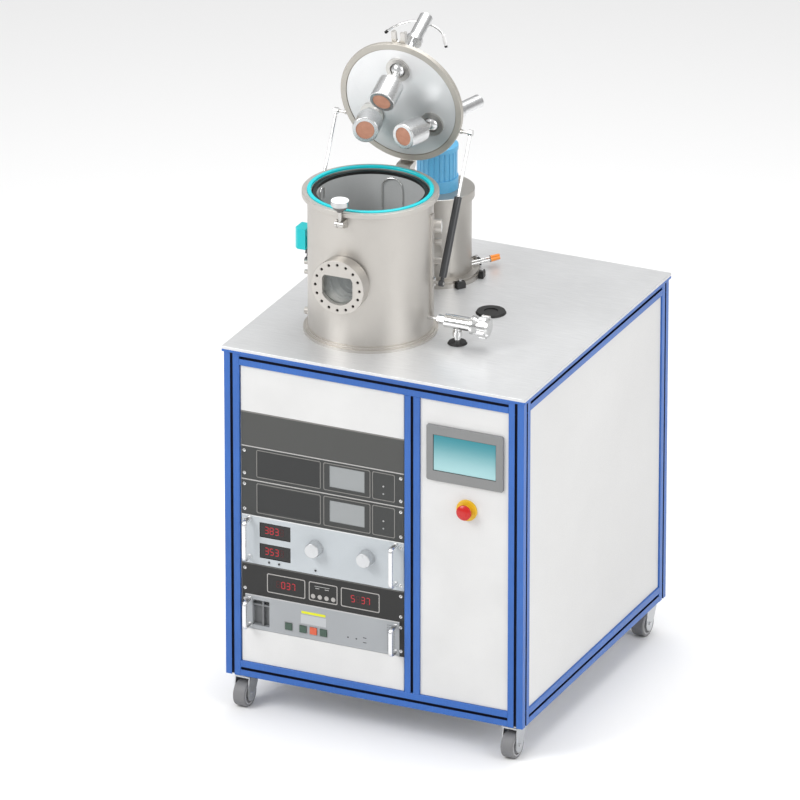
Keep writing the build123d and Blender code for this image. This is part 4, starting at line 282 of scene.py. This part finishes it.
rack = {
    "x": -0.1525, "face": -0.480,  # middle of the bay and plane of the fronts
    "supplies": ((0.736, 0.098), (0.6345, 0.105)),  # middle height and height of each unit
    "dc": ((0.5105, 0.143),),
    "gauge": ((0.393, 0.092),),
    "controller": ((0.296, 0.102),),
    # height and front of the painted highlight along each unit's top edge
    "edgeLine": 0.0034, "edgeFront": -0.4785,
    "proud": (-0.4812, -0.4804),
    "blank": {"z": 0.835, "wide": 0.485, "tall": 0.0995, "line": 0.8815},
}
# bright is a painted highlight tone; line is the raised frames' tone and also a painted highlight on the blank
grey = {
    "screen": (0.30, 0.315, 0.32), "line": (0.20, 0.195, 0.185),
    "bright": (0.46, 0.45, 0.44), "black": (0.006, 0.006, 0.006),
}
edgeRough, proudRough = 0.35, 0.4
steel, plain = 1.0, 0.0  # metallic values


def panelFront(units, raised, patches):
    # patches: x, z, width, height, deepest y, colour, roughness, with x and z from the unit's middle
    def masks(spot, normal):
        x, y, z = spot.parts()
        out = []
        for middle, tall in units:
            top = middle + tall / 2
            # painted highlight: a lighter band along the top edge of each unit
            line = (z > top - rack["edgeLine"]) * (z < top) * (y < rack["edgeFront"])
            out.append((line, raised["edge"], edgeRough, plain))
        if raised.get("stand"):
            stand = (y < rack["proud"][1]) * (y > rack["proud"][0])
            out.append((stand, raised["stand"], proudRough, plain))
        for middle, tall in units:
            for px, pz, wide, high, deep, colour, roughHere in patches:
                mask = inside(x, rack["x"] + px, wide) * inside(z, middle + pz, high) * (y < deep)
                out.append((mask, colour, roughHere, plain))
        return out
    return masks


def bladePatches(spot, normal):
    # dark blank among the white fronts, with a painted highlight along its top
    x, y, z = spot.parts()
    blank = rack["blank"]
    mask = inside(x, rack["x"], blank["wide"]) * inside(z, blank["z"], blank["tall"])
    return [
        (mask, (0.064, 0.065, 0.062), 0.5, plain),
        # painted highlight: a lighter band along the blank's top edge
        (mask * (z > blank["line"]), grey["line"], proudRough, plain),
    ]


# the lid's middle at rest, and the sine and cosine of its tilt
lidPlane = {
    "x": -0.135, "y": -0.01411, "z": 1.65103, "lean": 0.16505, "rise": 0.98629,
    "recess": 0.1628, "recessDeep": 0.003, "step": 0.1608,
    # bright and shaded are the two ends of a painted reflection across the recess
    "bright": (0.80, 0.805, 0.81), "shaded": (0.52, 0.545, 0.55), "stepTone": (0.30, 0.27, 0.23),
}


def lidPatches(spot, normal):
    # blasted rim, a recess with a painted reflection that is bright at the top and darkens downwards, dull step round
    # it
    x, y, z = spot.parts()
    across = x - lidPlane["x"]
    behind, above = y - lidPlane["y"], z - lidPlane["z"]
    down = behind * lidPlane["lean"] - above * lidPlane["rise"]
    deep = behind * lidPlane["rise"] + above * lidPlane["lean"]
    reach = (across * across + down * down).root()
    disc = (reach < lidPlane["recess"]) * (deep < lidPlane["recessDeep"])
    paintedReflectionRamp = ((down + across * 0.35) * 3.4 + 0.5).fade(0.0, 1.0)
    return [
        (disc, paintedReflectionRamp.blend(lidPlane["bright"], lidPlane["shaded"]), 0.3, 0.25),
        (disc * (reach > lidPlane["step"]), lidPlane["stepTone"], 0.4, 0.5),
    ]


chamberAxis, valveAxis = (-0.135, -0.208), (-0.135, 0.222)
chamberTones = {"ringLow": 1.4555, "loopReach": 0.1452, "knobBand": 1.4925, "knobTop": 1.5085,
                "clawReach": 0.1201, "clawTop": 1.1, "screwLow": 1.0872}


def fromAxis(spot, axis):
    # distance from an upright axis, and the height
    x, y, z = spot.parts()
    across, along = x - axis[0], y - axis[1]
    return (across * across + along * along).root(), z


def linerPatches(spot, normal):
    # black ring under the gasket, partly a black seal and partly painted shade in the gap, bright wire loops
    reach, z = fromAxis(spot, chamberAxis)
    ringLow = chamberTones["ringLow"]
    return [
        # painted shade with the seal: the liner's top rim is coloured black for the dark gap under the gasket
        (z > ringLow, (0.004, 0.004, 0.004), 0.45, plain),
        ((reach < chamberTones["loopReach"]) * (z < ringLow), (0.85, 0.85, 0.84), 0.2, steel),
    ]


def clampPatches(spot, normal):
    # dark taper under the band, pale disc on top
    z = spot.parts()[2]
    return [
        (z < chamberTones["knobBand"], (0.16, 0.155, 0.15), 0.35, 0.9),
        (z > chamberTones["knobTop"], (0.92, 0.92, 0.92), 0.3, plain),
    ]


def claspPatches(spot, normal):
    # claws coloured black, partly their dark finish and partly painted shadow among them, with bright screws round the
    # valve's foot
    reach, z = fromAxis(spot, valveAxis)
    claw = (reach > chamberTones["clawReach"]) * (z < chamberTones["clawTop"])
    return [
        # black here is partly the claws' finish and partly painted shadow
        (claw, (0.012, 0.012, 0.012), 0.4, plain),
        (claw * (z > chamberTones["screwLow"]), (0.8, 0.8, 0.8), 0.2, steel),
    ]


# a point on the nipples' run, its direction, and where the two caps begin
nippleRun = {"x": -0.0506, "y": 0.2561, "way": (0.5299, 0.848), "split": 0.00825, "later": 0.00948, "cap": 0.0662}


def nipplePatches(spot, normal):
    x, y, z = spot.parts()
    dx, dy = x - nippleRun["x"], y - nippleRun["y"]
    wayX, wayY = nippleRun["way"]
    along = dx * wayX + dy * wayY
    other = dy * wayX - dx * wayY
    start = (other > nippleRun["split"]) * nippleRun["later"] + nippleRun["cap"]
    return [(along > start, (0.80, 0.26, 0.03), 0.4, plain)]


gaugeFlange = {"from": -0.3141, "tone": (0.75, 0.75, 0.75)}


def gaugePatches(spot, normal):
    return [(spot.parts()[0] > gaugeFlange["from"], gaugeFlange["tone"], 0.2, steel)]


touchGlass = {
    "x": 0.2705, "z": 0.8675, "front": -0.486, "rim": (0.1850, 0.1050), "lit": (0.1818, 0.1018),
    "heights": (0.815, 0.920), "low": (0.36, 0.60, 0.62), "high": (0.025, 0.24, 0.29),
}


def glassPatches(spot, normal):
    # dark rim, then a screen that pales towards its foot
    x, y, z = spot.parts()

    def field(size):
        return inside(x, touchGlass["x"], size[0]) * inside(z, touchGlass["z"], size[1]) * (y < touchGlass["front"])

    fading = z.fade(*touchGlass["heights"]).blend(touchGlass["low"], touchGlass["high"])
    return [(field(touchGlass["rim"]), (0.05, 0.06, 0.06), 0.3, plain), (field(touchGlass["lit"]), fading, 0.12, plain)]


wheelRings = {"height": 0.0375, "axle": (-0.99939, 0.0349), "hub": 0.0312, "pin": 0.0122}


def wheelPatches(centre):
    # hub and axle by their distance from the axle line
    def masks(spot, normal):
        x, y, z = spot.parts()
        dx, dy, dz = x - centre[0], y - centre[1], z - wheelRings["height"]
        along = dx * wheelRings["axle"][0] + dy * wheelRings["axle"][1]
        reach = (dx * dx + dy * dy + dz * dz - along * along).root()
        return [
            (reach < wheelRings["hub"], (0.42, 0.42, 0.43), 0.45, plain),
            (reach < wheelRings["pin"], (0.70, 0.70, 0.71), 0.3, steel),
        ]
    return masks


edgePlanes = {
    "x": (-0.4425, 0.4425, -0.3975, 0.3975, 0.0925, 0.1375),
    "y": (-0.485, 0.485, -0.44, 0.44),
    "z": (0.1, 0.145, 1.017, 1.062),
    "trim": (1.051, 1.0595, 0.4427, 0.4852),
}
rackAngles = {"x": -0.1525, "wide": 0.4898, "front": -0.44, "z": 0.581, "tall": 0.871}
wheelSpots = {
    "front_left": (-0.400523, -0.454991), "front_right": (0.399477, -0.454991),
    "rear_left": (-0.400523, 0.425009), "rear_right": (0.399477, 0.425009),
}
# the edge tones in these unit tables are painted highlights along each unit's top
supplyTones = {"edge": grey["bright"], "stand": grey["line"]}
supplyPatches = (
    (-0.1006, 0.0, 0.1868, 0.076, -0.4795, (0.019, 0.020, 0.020), 0.4),
    (0.073, 0.002, 0.1035, 0.0615, -0.4785, grey["screen"], 0.25),
    (0.181, 0.001, 0.0062, 0.0062, -0.4803, (0.42, 0.42, 0.42), 0.3),
    (0.181, -0.021, 0.0062, 0.0062, -0.4803, (0.33, 0.34, 0.34), 0.3),
)
dcTones = {"edge": (0.72, 0.73, 0.73)}
dcPatches = (
    (-0.142, 0.0328, 0.0925, 0.0435, -0.4775, (0.008, 0.007, 0.007), 0.14),
    (-0.142, -0.0288, 0.0925, 0.0435, -0.4775, (0.008, 0.007, 0.007), 0.14),
    (-0.09, -0.0595, 0.17, 0.0085, -0.4803, (0.02, 0.02, 0.02), 0.4),
)
gaugeTones = {"edge": (0.10, 0.10, 0.095), "stand": (0.40, 0.385, 0.37)}
controllerTones = {"edge": (0.50, 0.50, 0.50), "stand": (0.30, 0.31, 0.32)}
controllerPatches = (
    (-0.237, 0.0, 0.0095, 0.11, -0.47, grey["black"], 0.4),
    (0.235, 0.0, 0.0135, 0.11, -0.47, grey["black"], 0.4),
    (-0.1855, -0.001, 0.0508, 0.0748, -0.4655, (0.17, 0.175, 0.18), 0.4),
)
paint = {
    "frameBlue": blueExtrusion("frameBlue", edgePlanes, rackAngles),
    "worktop": brushedTop("worktopStainless"),
    "panelWhite": powderCoat("panelWhite", (0.69, 0.688, 0.682), 0.5, 900.0, 0.00009, 0.07),
    "frontWhite": patchwork("frontWhite", (0.69, 0.688, 0.682), bladePatches, 0.5, 900.0),
    "zinc": satinMetal("zincPlate", (0.58, 0.59, 0.60), 0.38, scale=260.0, spread=0.2),
    "rackDark": patchwork("rackDark", (0.036, 0.038, 0.037),
                          panelFront(rack["supplies"], supplyTones, supplyPatches), 0.45),
    "rackSilver": patchwork("rackSilver", (0.49, 0.525, 0.55), panelFront(rack["dc"], dcTones, dcPatches), 0.42),
    "rackBlack": patchwork("rackBlack", (0.0075, 0.0072, 0.0066), panelFront(rack["gauge"], gaugeTones, ()), 0.34),
    "rackGrey": patchwork("rackGrey", (0.345, 0.36, 0.375),
                          panelFront(rack["controller"], controllerTones, controllerPatches), 0.45),
    "bowChrome": satinMetal("bowChrome", (0.80, 0.80, 0.80), 0.28, scale=500.0, spread=0.06),
    "bezel": patchwork("bezelAlloy", (0.225, 0.228, 0.228), glassPatches, 0.42),
    "stopYellow": powderCoat("stopYellow", (0.80, 0.50, 0.02), 0.4, 900.0, 0.00002, 0.04),
    "stopRed": powderCoat("stopRed", (0.56, 0.012, 0.010), 0.28, 700.0, 0.00002, 0.06),
    "chamber": satinMetal("blastedSteel", (0.58, 0.555, 0.52), 0.42, scale=1500.0, spread=0.10, metal=0.8, tint=0.05),
    "polished": satinMetal("polishedSteel", (0.74, 0.74, 0.735), 0.20, scale=420.0, spread=0.08),
    "bracket": satinMetal("bracketSteel", (0.60, 0.585, 0.56), 0.30, scale=800.0, spread=0.1),
    # valveSteel's base tone is darker than the chamber's steel as painted shade on the valve body
    "valveSteel": patchwork("valveSteel", (0.46, 0.44, 0.41), claspPatches, 0.36, 1500.0, 0.85),
    "nipples": patchwork("nippleSteel", (0.70, 0.70, 0.69), nipplePatches, 0.22, 700.0, 1.0),
    "darkSocket": satinMetal("darkSocket", (0.035, 0.030, 0.026), 0.45, scale=900.0, metal=0.5),
    "gasket": powderCoat("gasketCyan", (0.004, 0.56, 0.62), 0.33, 600.0, 0.00003, 0.06),
    "liner": patchwork("linerSheet", (0.50, 0.51, 0.51), linerPatches, 0.34, 600.0, 0.15),
    "teal": patchwork("gaugeTeal", (0.0, 0.56, 0.60), gaugePatches, 0.36, 900.0),
    "rubber": powderCoat("grommetRubber", (0.012, 0.012, 0.012), 0.6, 700.0, 0.00005, 0.25),
    "actuator": powderCoat("actuatorBlue", (0.105, 0.40, 0.66), 0.30, 500.0, 0.00006, 0.10),
    "castAlloy": satinMetal("castAlloy", (0.62, 0.63, 0.64), 0.4, scale=400.0, spread=0.15),
    "lid": patchwork("lidSteel", (0.50, 0.475, 0.43), lidPatches, 0.45, 1300.0, 0.55),
    "gun": satinMetal("gunAluminium", (0.76, 0.765, 0.77), 0.27, scale=900.0, spread=0.10),
    "copper": copperTarget("targetCopper"),
    "strut": powderCoat("strutPaint", (0.045, 0.047, 0.05), 0.34, 900.0, 0.00002, 0.1),
    "knobSilver": satinMetal("knobSilver", (0.60, 0.61, 0.62), 0.34, scale=900.0, metal=0.75),
    "clampKnob": patchwork("clampKnobSteel", (0.62, 0.62, 0.62), clampPatches, 0.22, 900.0, 1.0),
    "buttonGreen": powderCoat("buttonGreen", (0.045, 0.085, 0.062), 0.3, 700.0, 0.00002, 0.1),
    "buttonOrange": powderCoat("buttonOrange", (0.62, 0.105, 0.045), 0.3, 700.0, 0.00002, 0.08),
    "glass": clearGlass("viewportGlass"),
    "printPale": powderCoat("printPale", (0.50, 0.50, 0.49), 0.5, 900.0, 0.00001, 0.04),
    "printDark": powderCoat("printDark", (0.055, 0.055, 0.06), 0.5, 900.0, 0.00001, 0.04),
    "stripYellow": powderCoat("stripYellow", (0.70, 0.72, 0.012), 0.45, 900.0, 0.00001, 0.05),
    "labelPale": powderCoat("labelPale", (0.47, 0.485, 0.50), 0.45, 900.0, 0.00001, 0.03),
    "capWhite": powderCoat("capWhite", (0.86, 0.86, 0.86), 0.28, 700.0, 0.00001, 0.03),
}

def digitFinish(name, colour, rough, glow):
    return finish(name, lambda spot, normal: {"Base Color": colour, "Roughness": rough + spot.noise(300.0) * 0.1}, glow)


paint["digitLit"] = digitFinish("digitLit", (0.30, 0.010, 0.016), 0.3,
                                {"Emission Color": (0.62, 0.014, 0.03), "Emission Strength": 0.45})
paint["digitDim"] = digitFinish("digitDim", (0.06, 0.006, 0.007), 0.35, None)
for place, centre in wheelSpots.items():
    paint[place] = patchwork("casterWheel_" + place, (0.20, 0.20, 0.205), wheelPatches(centre), 0.55, 600.0)
nodePaint = {
    "cabinet_frame": "frameBlue", "worktop": "worktop", "cabinet_panels": "panelWhite",
    "front_panels": "frontWhite", "power_supplies": "rackDark", "dc_supply": "rackSilver",
    "gauge_unit": "rackBlack", "valve_controller": "rackGrey", "rack_handles": "bowChrome", "touchscreen": "bezel",
    "estop_collar": "stopYellow", "estop_button": "stopRed", "caster_plates": "zinc", "chamber_body": "chamber",
    "chamber_flange": "chamber", "chamber_ports": "chamber",
    "chamber_gasket": "gasket", "chamber_liner": "liner", "chamber_brackets": "bracket", "viewport_flange": "chamber",
    "viewport_glass": "glass", "viewport_bolts": "darkSocket", "gauge_head": "teal", "manual_valve": "polished",
    "grommets": "rubber", "vacuum_valve": "valveSteel", "valve_actuator": "actuator", "turbo_pump": "castAlloy",
    "coolant_nipples": "nipples", "stage_drive": "rubber", "lid": "lid", "lid_fittings": "bracket",
    "clamp_swing_bolt": "bracket", "clamp_knob": "clampKnob", "valve_handwheel": "polished", "sample_stage": "bracket",
    "supply_knob_1": "knobSilver", "supply_knob_2": "knobSilver", "controller_button_1": "buttonGreen",
    "controller_button_2": "buttonGreen", "controller_button_3": "buttonOrange", "controller_button_4": "buttonGreen",
}
repeatedPaint = {
    "sputter_gun": "gun", "target": "copper", "strut_cylinder": "strut", "strut_rod": "polished", "caster_fork": "zinc",
}
for name, obj in nodes.items():
    key = nodePaint.get(name)
    if name.startswith("caster_wheel_"):
        key = name[len("caster_wheel_"):]
    for start, choice in repeatedPaint.items():
        if name.startswith(start):
            key = choice
    for slotNumber in range(len(obj.material_slots)):
        obj.material_slots[slotNumber].material = paint[key]
print("finishes on the packed nodes")

# added pieces
def keep(name, mesh, material, body):
    bmesh.ops.remove_doubles(mesh, verts=mesh.verts, dist=0.000005)
    bmesh.ops.recalc_face_normals(mesh, faces=mesh.faces)
    data = bpy.data.meshes.new(name)
    mesh.to_mesh(data)
    mesh.free()
    data.materials.append(paint[material])
    piece = bpy.data.objects.new(name, data)
    scene.collection.objects.link(piece)
    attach(piece, body)


def bar(mesh, middle, size):
    made = bmesh.ops.create_cube(mesh, size=1.0)["verts"]
    bmesh.ops.scale(mesh, vec=size, verts=made)
    bmesh.ops.translate(mesh, vec=middle, verts=made)


def turned(mesh, profile, place, steps=24):
    # profile is (radius, height) pairs about Z, then place moves the shape
    before = len(mesh.verts)
    rim = [mesh.verts.new((radius, 0.0, high)) for radius, high in profile]
    line = [mesh.edges.new(pair) for pair in zip(rim, rim[1:])]
    bmesh.ops.spin(mesh, geom=rim + line, cent=(0, 0, 0), axis=(0, 0, 1), angle=math.tau,
                   steps=steps, use_merge=True)
    bmesh.ops.transform(mesh, matrix=place, verts=list(mesh.verts)[before:])


def rod(mesh, points, radius, around=14):
    # a ring pushed from point to point, turned half way into each bend
    spots = [Vector(point) for point in points]
    runs = [(b - a).normalized() for a, b in zip(spots, spots[1:])]
    ways = [runs[0]] + [(a + b).normalized() for a, b in zip(runs, runs[1:])] + [runs[-1]]
    start = Matrix.Translation(spots[0]) @ ways[0].to_track_quat("Z", "Y").to_matrix().to_4x4()
    ring = bmesh.ops.create_circle(mesh, cap_ends=True, segments=around, radius=radius, matrix=start)["verts"]
    edges = list({rim for corner in ring for rim in corner.link_edges})
    for number in range(1, len(spots)):
        made = bmesh.ops.extrude_edge_only(mesh, edges=edges)["geom"]
        ring = [part for part in made if isinstance(part, bmesh.types.BMVert)]
        sides = [part for part in made if isinstance(part, bmesh.types.BMEdge)]
        edges = [side for side in sides if all(corner in ring for corner in side.verts)]
        bmesh.ops.translate(mesh, vec=spots[number] - spots[number - 1], verts=ring)
        bend = ways[number - 1].rotation_difference(ways[number]).to_matrix()
        bmesh.ops.rotate(mesh, cent=spots[number], matrix=bend, verts=ring)
    bmesh.ops.edgeloop_fill(mesh, edges=edges)


def facing(x, y, z):
    # Z of a shape turned to the front, at that place
    return Matrix.Translation((x, y, z)) @ Matrix.Rotation(math.radians(90.0), 4, "X")


rackScrew = {
    "across": 0.2325, "inset": 0.032,
    "crossStand": 0.0022, "crossLong": 0.0036, "crossWide": 0.0007, "crossDeep": 0.0006,
    "profile": ((0.0, 0.0024), (0.0018, 0.0023), (0.0034, 0.0016), (0.0038, 0.0006),
                (0.0046, 0.0006), (0.0046, -0.0004), (0.0, -0.0004)),
}
heads, crossShades = bmesh.new(), bmesh.new()
for unit in ("supplies", "dc", "gauge", "controller"):
    for middle, tall in rack[unit]:
        for side in (-1, 1):
            for level in (-1, 1):
                x = rack["x"] + side * rackScrew["across"]
                z = middle + level * (tall - rackScrew["inset"]) / 2
                turned(heads, rackScrew["profile"], facing(x, rack["face"], z))
                # dark cross laid on each head: painted shade of the cross recess
                at = (x, rack["face"] - rackScrew["crossStand"], z)
                long, wide, deep = rackScrew["crossLong"], rackScrew["crossWide"], rackScrew["crossDeep"]
                bar(crossShades, at, (long, deep, wide))
                bar(crossShades, at, (wide, deep + 0.00002, long))
keep("rackScrews", heads, "polished", "cabinet")
keep("rackScrewCrossShade", crossShades, "darkSocket", "cabinet")

# seven bars per digit: across, up, and 1 where the bar lies flat
barPlaces = {
    "a": (0, 1, 1), "b": (1, 0.5, 0), "c": (1, -0.5, 0), "d": (0, -1, 1),
    "e": (-1, -0.5, 0), "f": (-1, 0.5, 0), "g": (0, 0, 1),
}
digitBars = {"0": "abcdef", "3": "abcdg", "5": "acdfg", "7": "abc", "8": "abcdefg", " ": ""}
digitSize = {
    "tall": 0.019, "pitch": 0.0150, "stand": 0.00015, "deep": 0.0007,
    "thick": 0.2, "flatLong": 0.78, "uprightLong": 0.84, "spreadX": 0.5, "spreadZ": 0.98,  # shares of half a digit
}
readouts = (
    {"text": "383 ", "x": -0.168, "z": 0.5433, "face": -0.478},
    {"text": "353 ", "x": -0.168, "z": 0.4817, "face": -0.478},
    {"text": " 037", "x": -0.133, "z": 0.390, "face": -0.480},
    {"text": "5 37", "x": 0.090, "z": 0.390, "face": -0.480},
)
lit, dim = bmesh.new(), bmesh.new()
half = digitSize["tall"] / 2
for readout in readouts:
    for place, sign in enumerate(readout["text"]):
        centre = rack["x"] + readout["x"] + place * digitSize["pitch"]
        for letter, (across, up, flat) in barPlaces.items():
            wide = half * (digitSize["flatLong"] if flat else digitSize["thick"])
            high = half * (digitSize["thick"] if flat else digitSize["uprightLong"])
            x = centre + across * half * digitSize["spreadX"]
            z = readout["z"] + up * half * digitSize["spreadZ"]
            at = (x, readout["face"] - digitSize["stand"], z)
            bar(lit if letter in digitBars[sign] else dim, at, (wide, digitSize["deep"], high))
keep("readoutLit", lit, "digitLit", "cabinet")
keep("readoutDim", dim, "digitDim", "cabinet")

# x from the bay's middle, z, width and height of each mark
markSize = {"stand": 0.0001, "deep": 0.0005}
marks = {
    "stripYellow": ((-0.028, 0.322, 0.072, 0.007),),
    "labelPale": ((-0.028, 0.302, 0.076, 0.026),),
    "printDark": ((0.075, 0.273, 0.004, 0.004), (0.100, 0.273, 0.004, 0.004),
                  (0.125, 0.280, 0.010, 0.002), (0.125, 0.266, 0.010, 0.002)),
    "printPale": ((0.168, 0.405, 0.003, 0.003), (0.168, 0.392, 0.003, 0.003), (0.168, 0.379, 0.003, 0.003),
                  (-0.016, 0.4, 0.012, 0.0016), (0.012, 0.4, 0.012, 0.0016), (-0.002, 0.406, 0.044, 0.0012)),
}
for tone, places in marks.items():
    flat = bmesh.new()
    for x, z, wide, high in places:
        bar(flat, (rack["x"] + x, rack["face"] - markSize["stand"], z), (wide, markSize["deep"], high))
    keep("frontMarks_" + tone, flat, tone, "cabinet")

# thin bent pipe under the tail of the first gun, with its pale sleeve and dark ends
pipe = {
    "y": 0.146, "radius": 0.0030, "sleeveRadius": 0.0048, "tipRadius": 0.0042,  # the runs are x and z
    "path": ((-0.2484, 1.7831), (-0.232, 1.7965), (-0.2111, 1.8086), (-0.190, 1.818), (-0.1724, 1.824),
             (-0.155, 1.8248), (-0.132, 1.823), (-0.1114, 1.8185), (-0.098, 1.812), (-0.0877, 1.8039), (-0.0826, 1.7965)),
    "sleeve": ((-0.0826, 1.7999), (-0.0751, 1.7692)),
    "tips": (((-0.2545, 1.777), (-0.2475, 1.7839)), ((-0.0753, 1.770), (-0.0738, 1.7635))),
}
for piece, runs, radius, tone, slotName in (
    ("coolantPipe", (pipe["path"],), pipe["radius"], "polished", "polished"),
    ("coolantPipeSleeve", (pipe["sleeve"],), pipe["sleeveRadius"], "capWhite", "panel_white"),
    ("coolantPipeTips", pipe["tips"], pipe["tipRadius"], "rubber", "rubber"),
):
    tube = bmesh.new()
    for run in runs:
        rod(tube, [(x, pipe["y"], z) for x, z in run], radius)
    keep(piece, tube, tone, "gun_1")

portCap = {
    "turn": 20.0, "out": 0.1915, "high": 1.368, "steps": 40,
    "profile": ((0.0, 0.001), (0.0144, 0.001), (0.015, 0.0006), (0.015, 0.0), (0.0, 0.0)),
}
cap = bmesh.new()
capPlace = Matrix.Translation((*chamberAxis, portCap["high"])) @ Matrix.Rotation(math.radians(portCap["turn"]), 4, "Z")
capPlace = capPlace @ Matrix.Translation((portCap["out"], 0, 0)) @ Matrix.Rotation(math.radians(90.0), 4, "Y")
turned(cap, portCap["profile"], capPlace, portCap["steps"])
keep("sidePortCap", cap, "capWhite", "cabinet")
print("screws, readouts, marks, pipe and cap added")

# floor, light, camera
floorShape = {"half": 12.0, "colour": (0.94, 0.94, 0.94)}
floorMesh = bmesh.new()
bmesh.ops.create_grid(floorMesh, x_segments=1, y_segments=1, size=floorShape["half"])
floorData = bpy.data.meshes.new("floor")
floorMesh.to_mesh(floorData)
floorMesh.free()
floor = bpy.data.objects.new("floor", floorData)
scene.collection.objects.link(floor)
floorData.materials.append(finish("paleFloor", lambda spot, normal: {
    "Base Color": floorShape["colour"], "Roughness": 0.9,
}))

sky = {"strength": 0.72, "stops": ((0.0, 0.55), (0.30, 0.62), (0.75, 0.95), (1.0, 1.1))}
world = bpy.data.worlds.new("studio")
world.use_nodes = True
scene.world = world
skyTree = world.node_tree
sight = Wire(skyTree, skyTree.nodes.new("ShaderNodeTexCoord").outputs["Generated"])
height = sight.parts()[2]
glow = height.ramp([(place, (shade, shade, shade)) for place, shade in sky["stops"]])
skyTree.links.new(glow.socket, skyTree.nodes["Background"].inputs["Color"])
skyTree.nodes["Background"].inputs["Strength"].default_value = sky["strength"]

lamps = {
    "key": {"at": (-3.2, -4.2, 4.6), "size": 3.0, "power": 215.0},
    "side": {"at": (4.6, -1.6, 3.2), "size": 3.0, "power": 95.0},
    "top": {"at": (0.2, 1.2, 5.2), "size": 3.5, "power": 135.0},
}
lampAim = (0.0, 0.0, 0.9)
for lampName, lamp in lamps.items():
    light = bpy.data.lights.new(lampName, "AREA")
    light.shape = "SQUARE"
    light.size = lamp["size"]
    light.energy = lamp["power"]
    holder = bpy.data.objects.new(lampName, light)
    holder.location = lamp["at"]
    aim = Vector(lampAim) - holder.location
    holder.rotation_euler = aim.to_track_quat("-Z", "Y").to_euler()
    scene.collection.objects.link(holder)

shot = {
    "azimuth": 24.756, "elevation": 23.070, "distance": 29.0, "lens": 478.606, "sensor": 36.0, "far": 200.0,
    "aim": (-0.14386, 0.0, 0.7729),
}
around, upward = math.radians(shot["azimuth"]), math.radians(shot["elevation"])
back = Vector((math.sin(around) * math.cos(upward), -math.cos(around) * math.cos(upward), math.sin(upward)))
lens = bpy.data.cameras.new("camera")
lens.lens = shot["lens"]
lens.sensor_width = shot["sensor"]
lens.clip_end = shot["far"]
camera = bpy.data.objects.new("camera", lens)
camera.location = Vector(shot["aim"]) + back * shot["distance"]
camera.rotation_euler = (-back).to_track_quat("-Z", "Y").to_euler()
scene.collection.objects.link(camera)
scene.camera = camera
scene.view_settings.view_transform = "Standard"
scene.view_settings.look = "None"
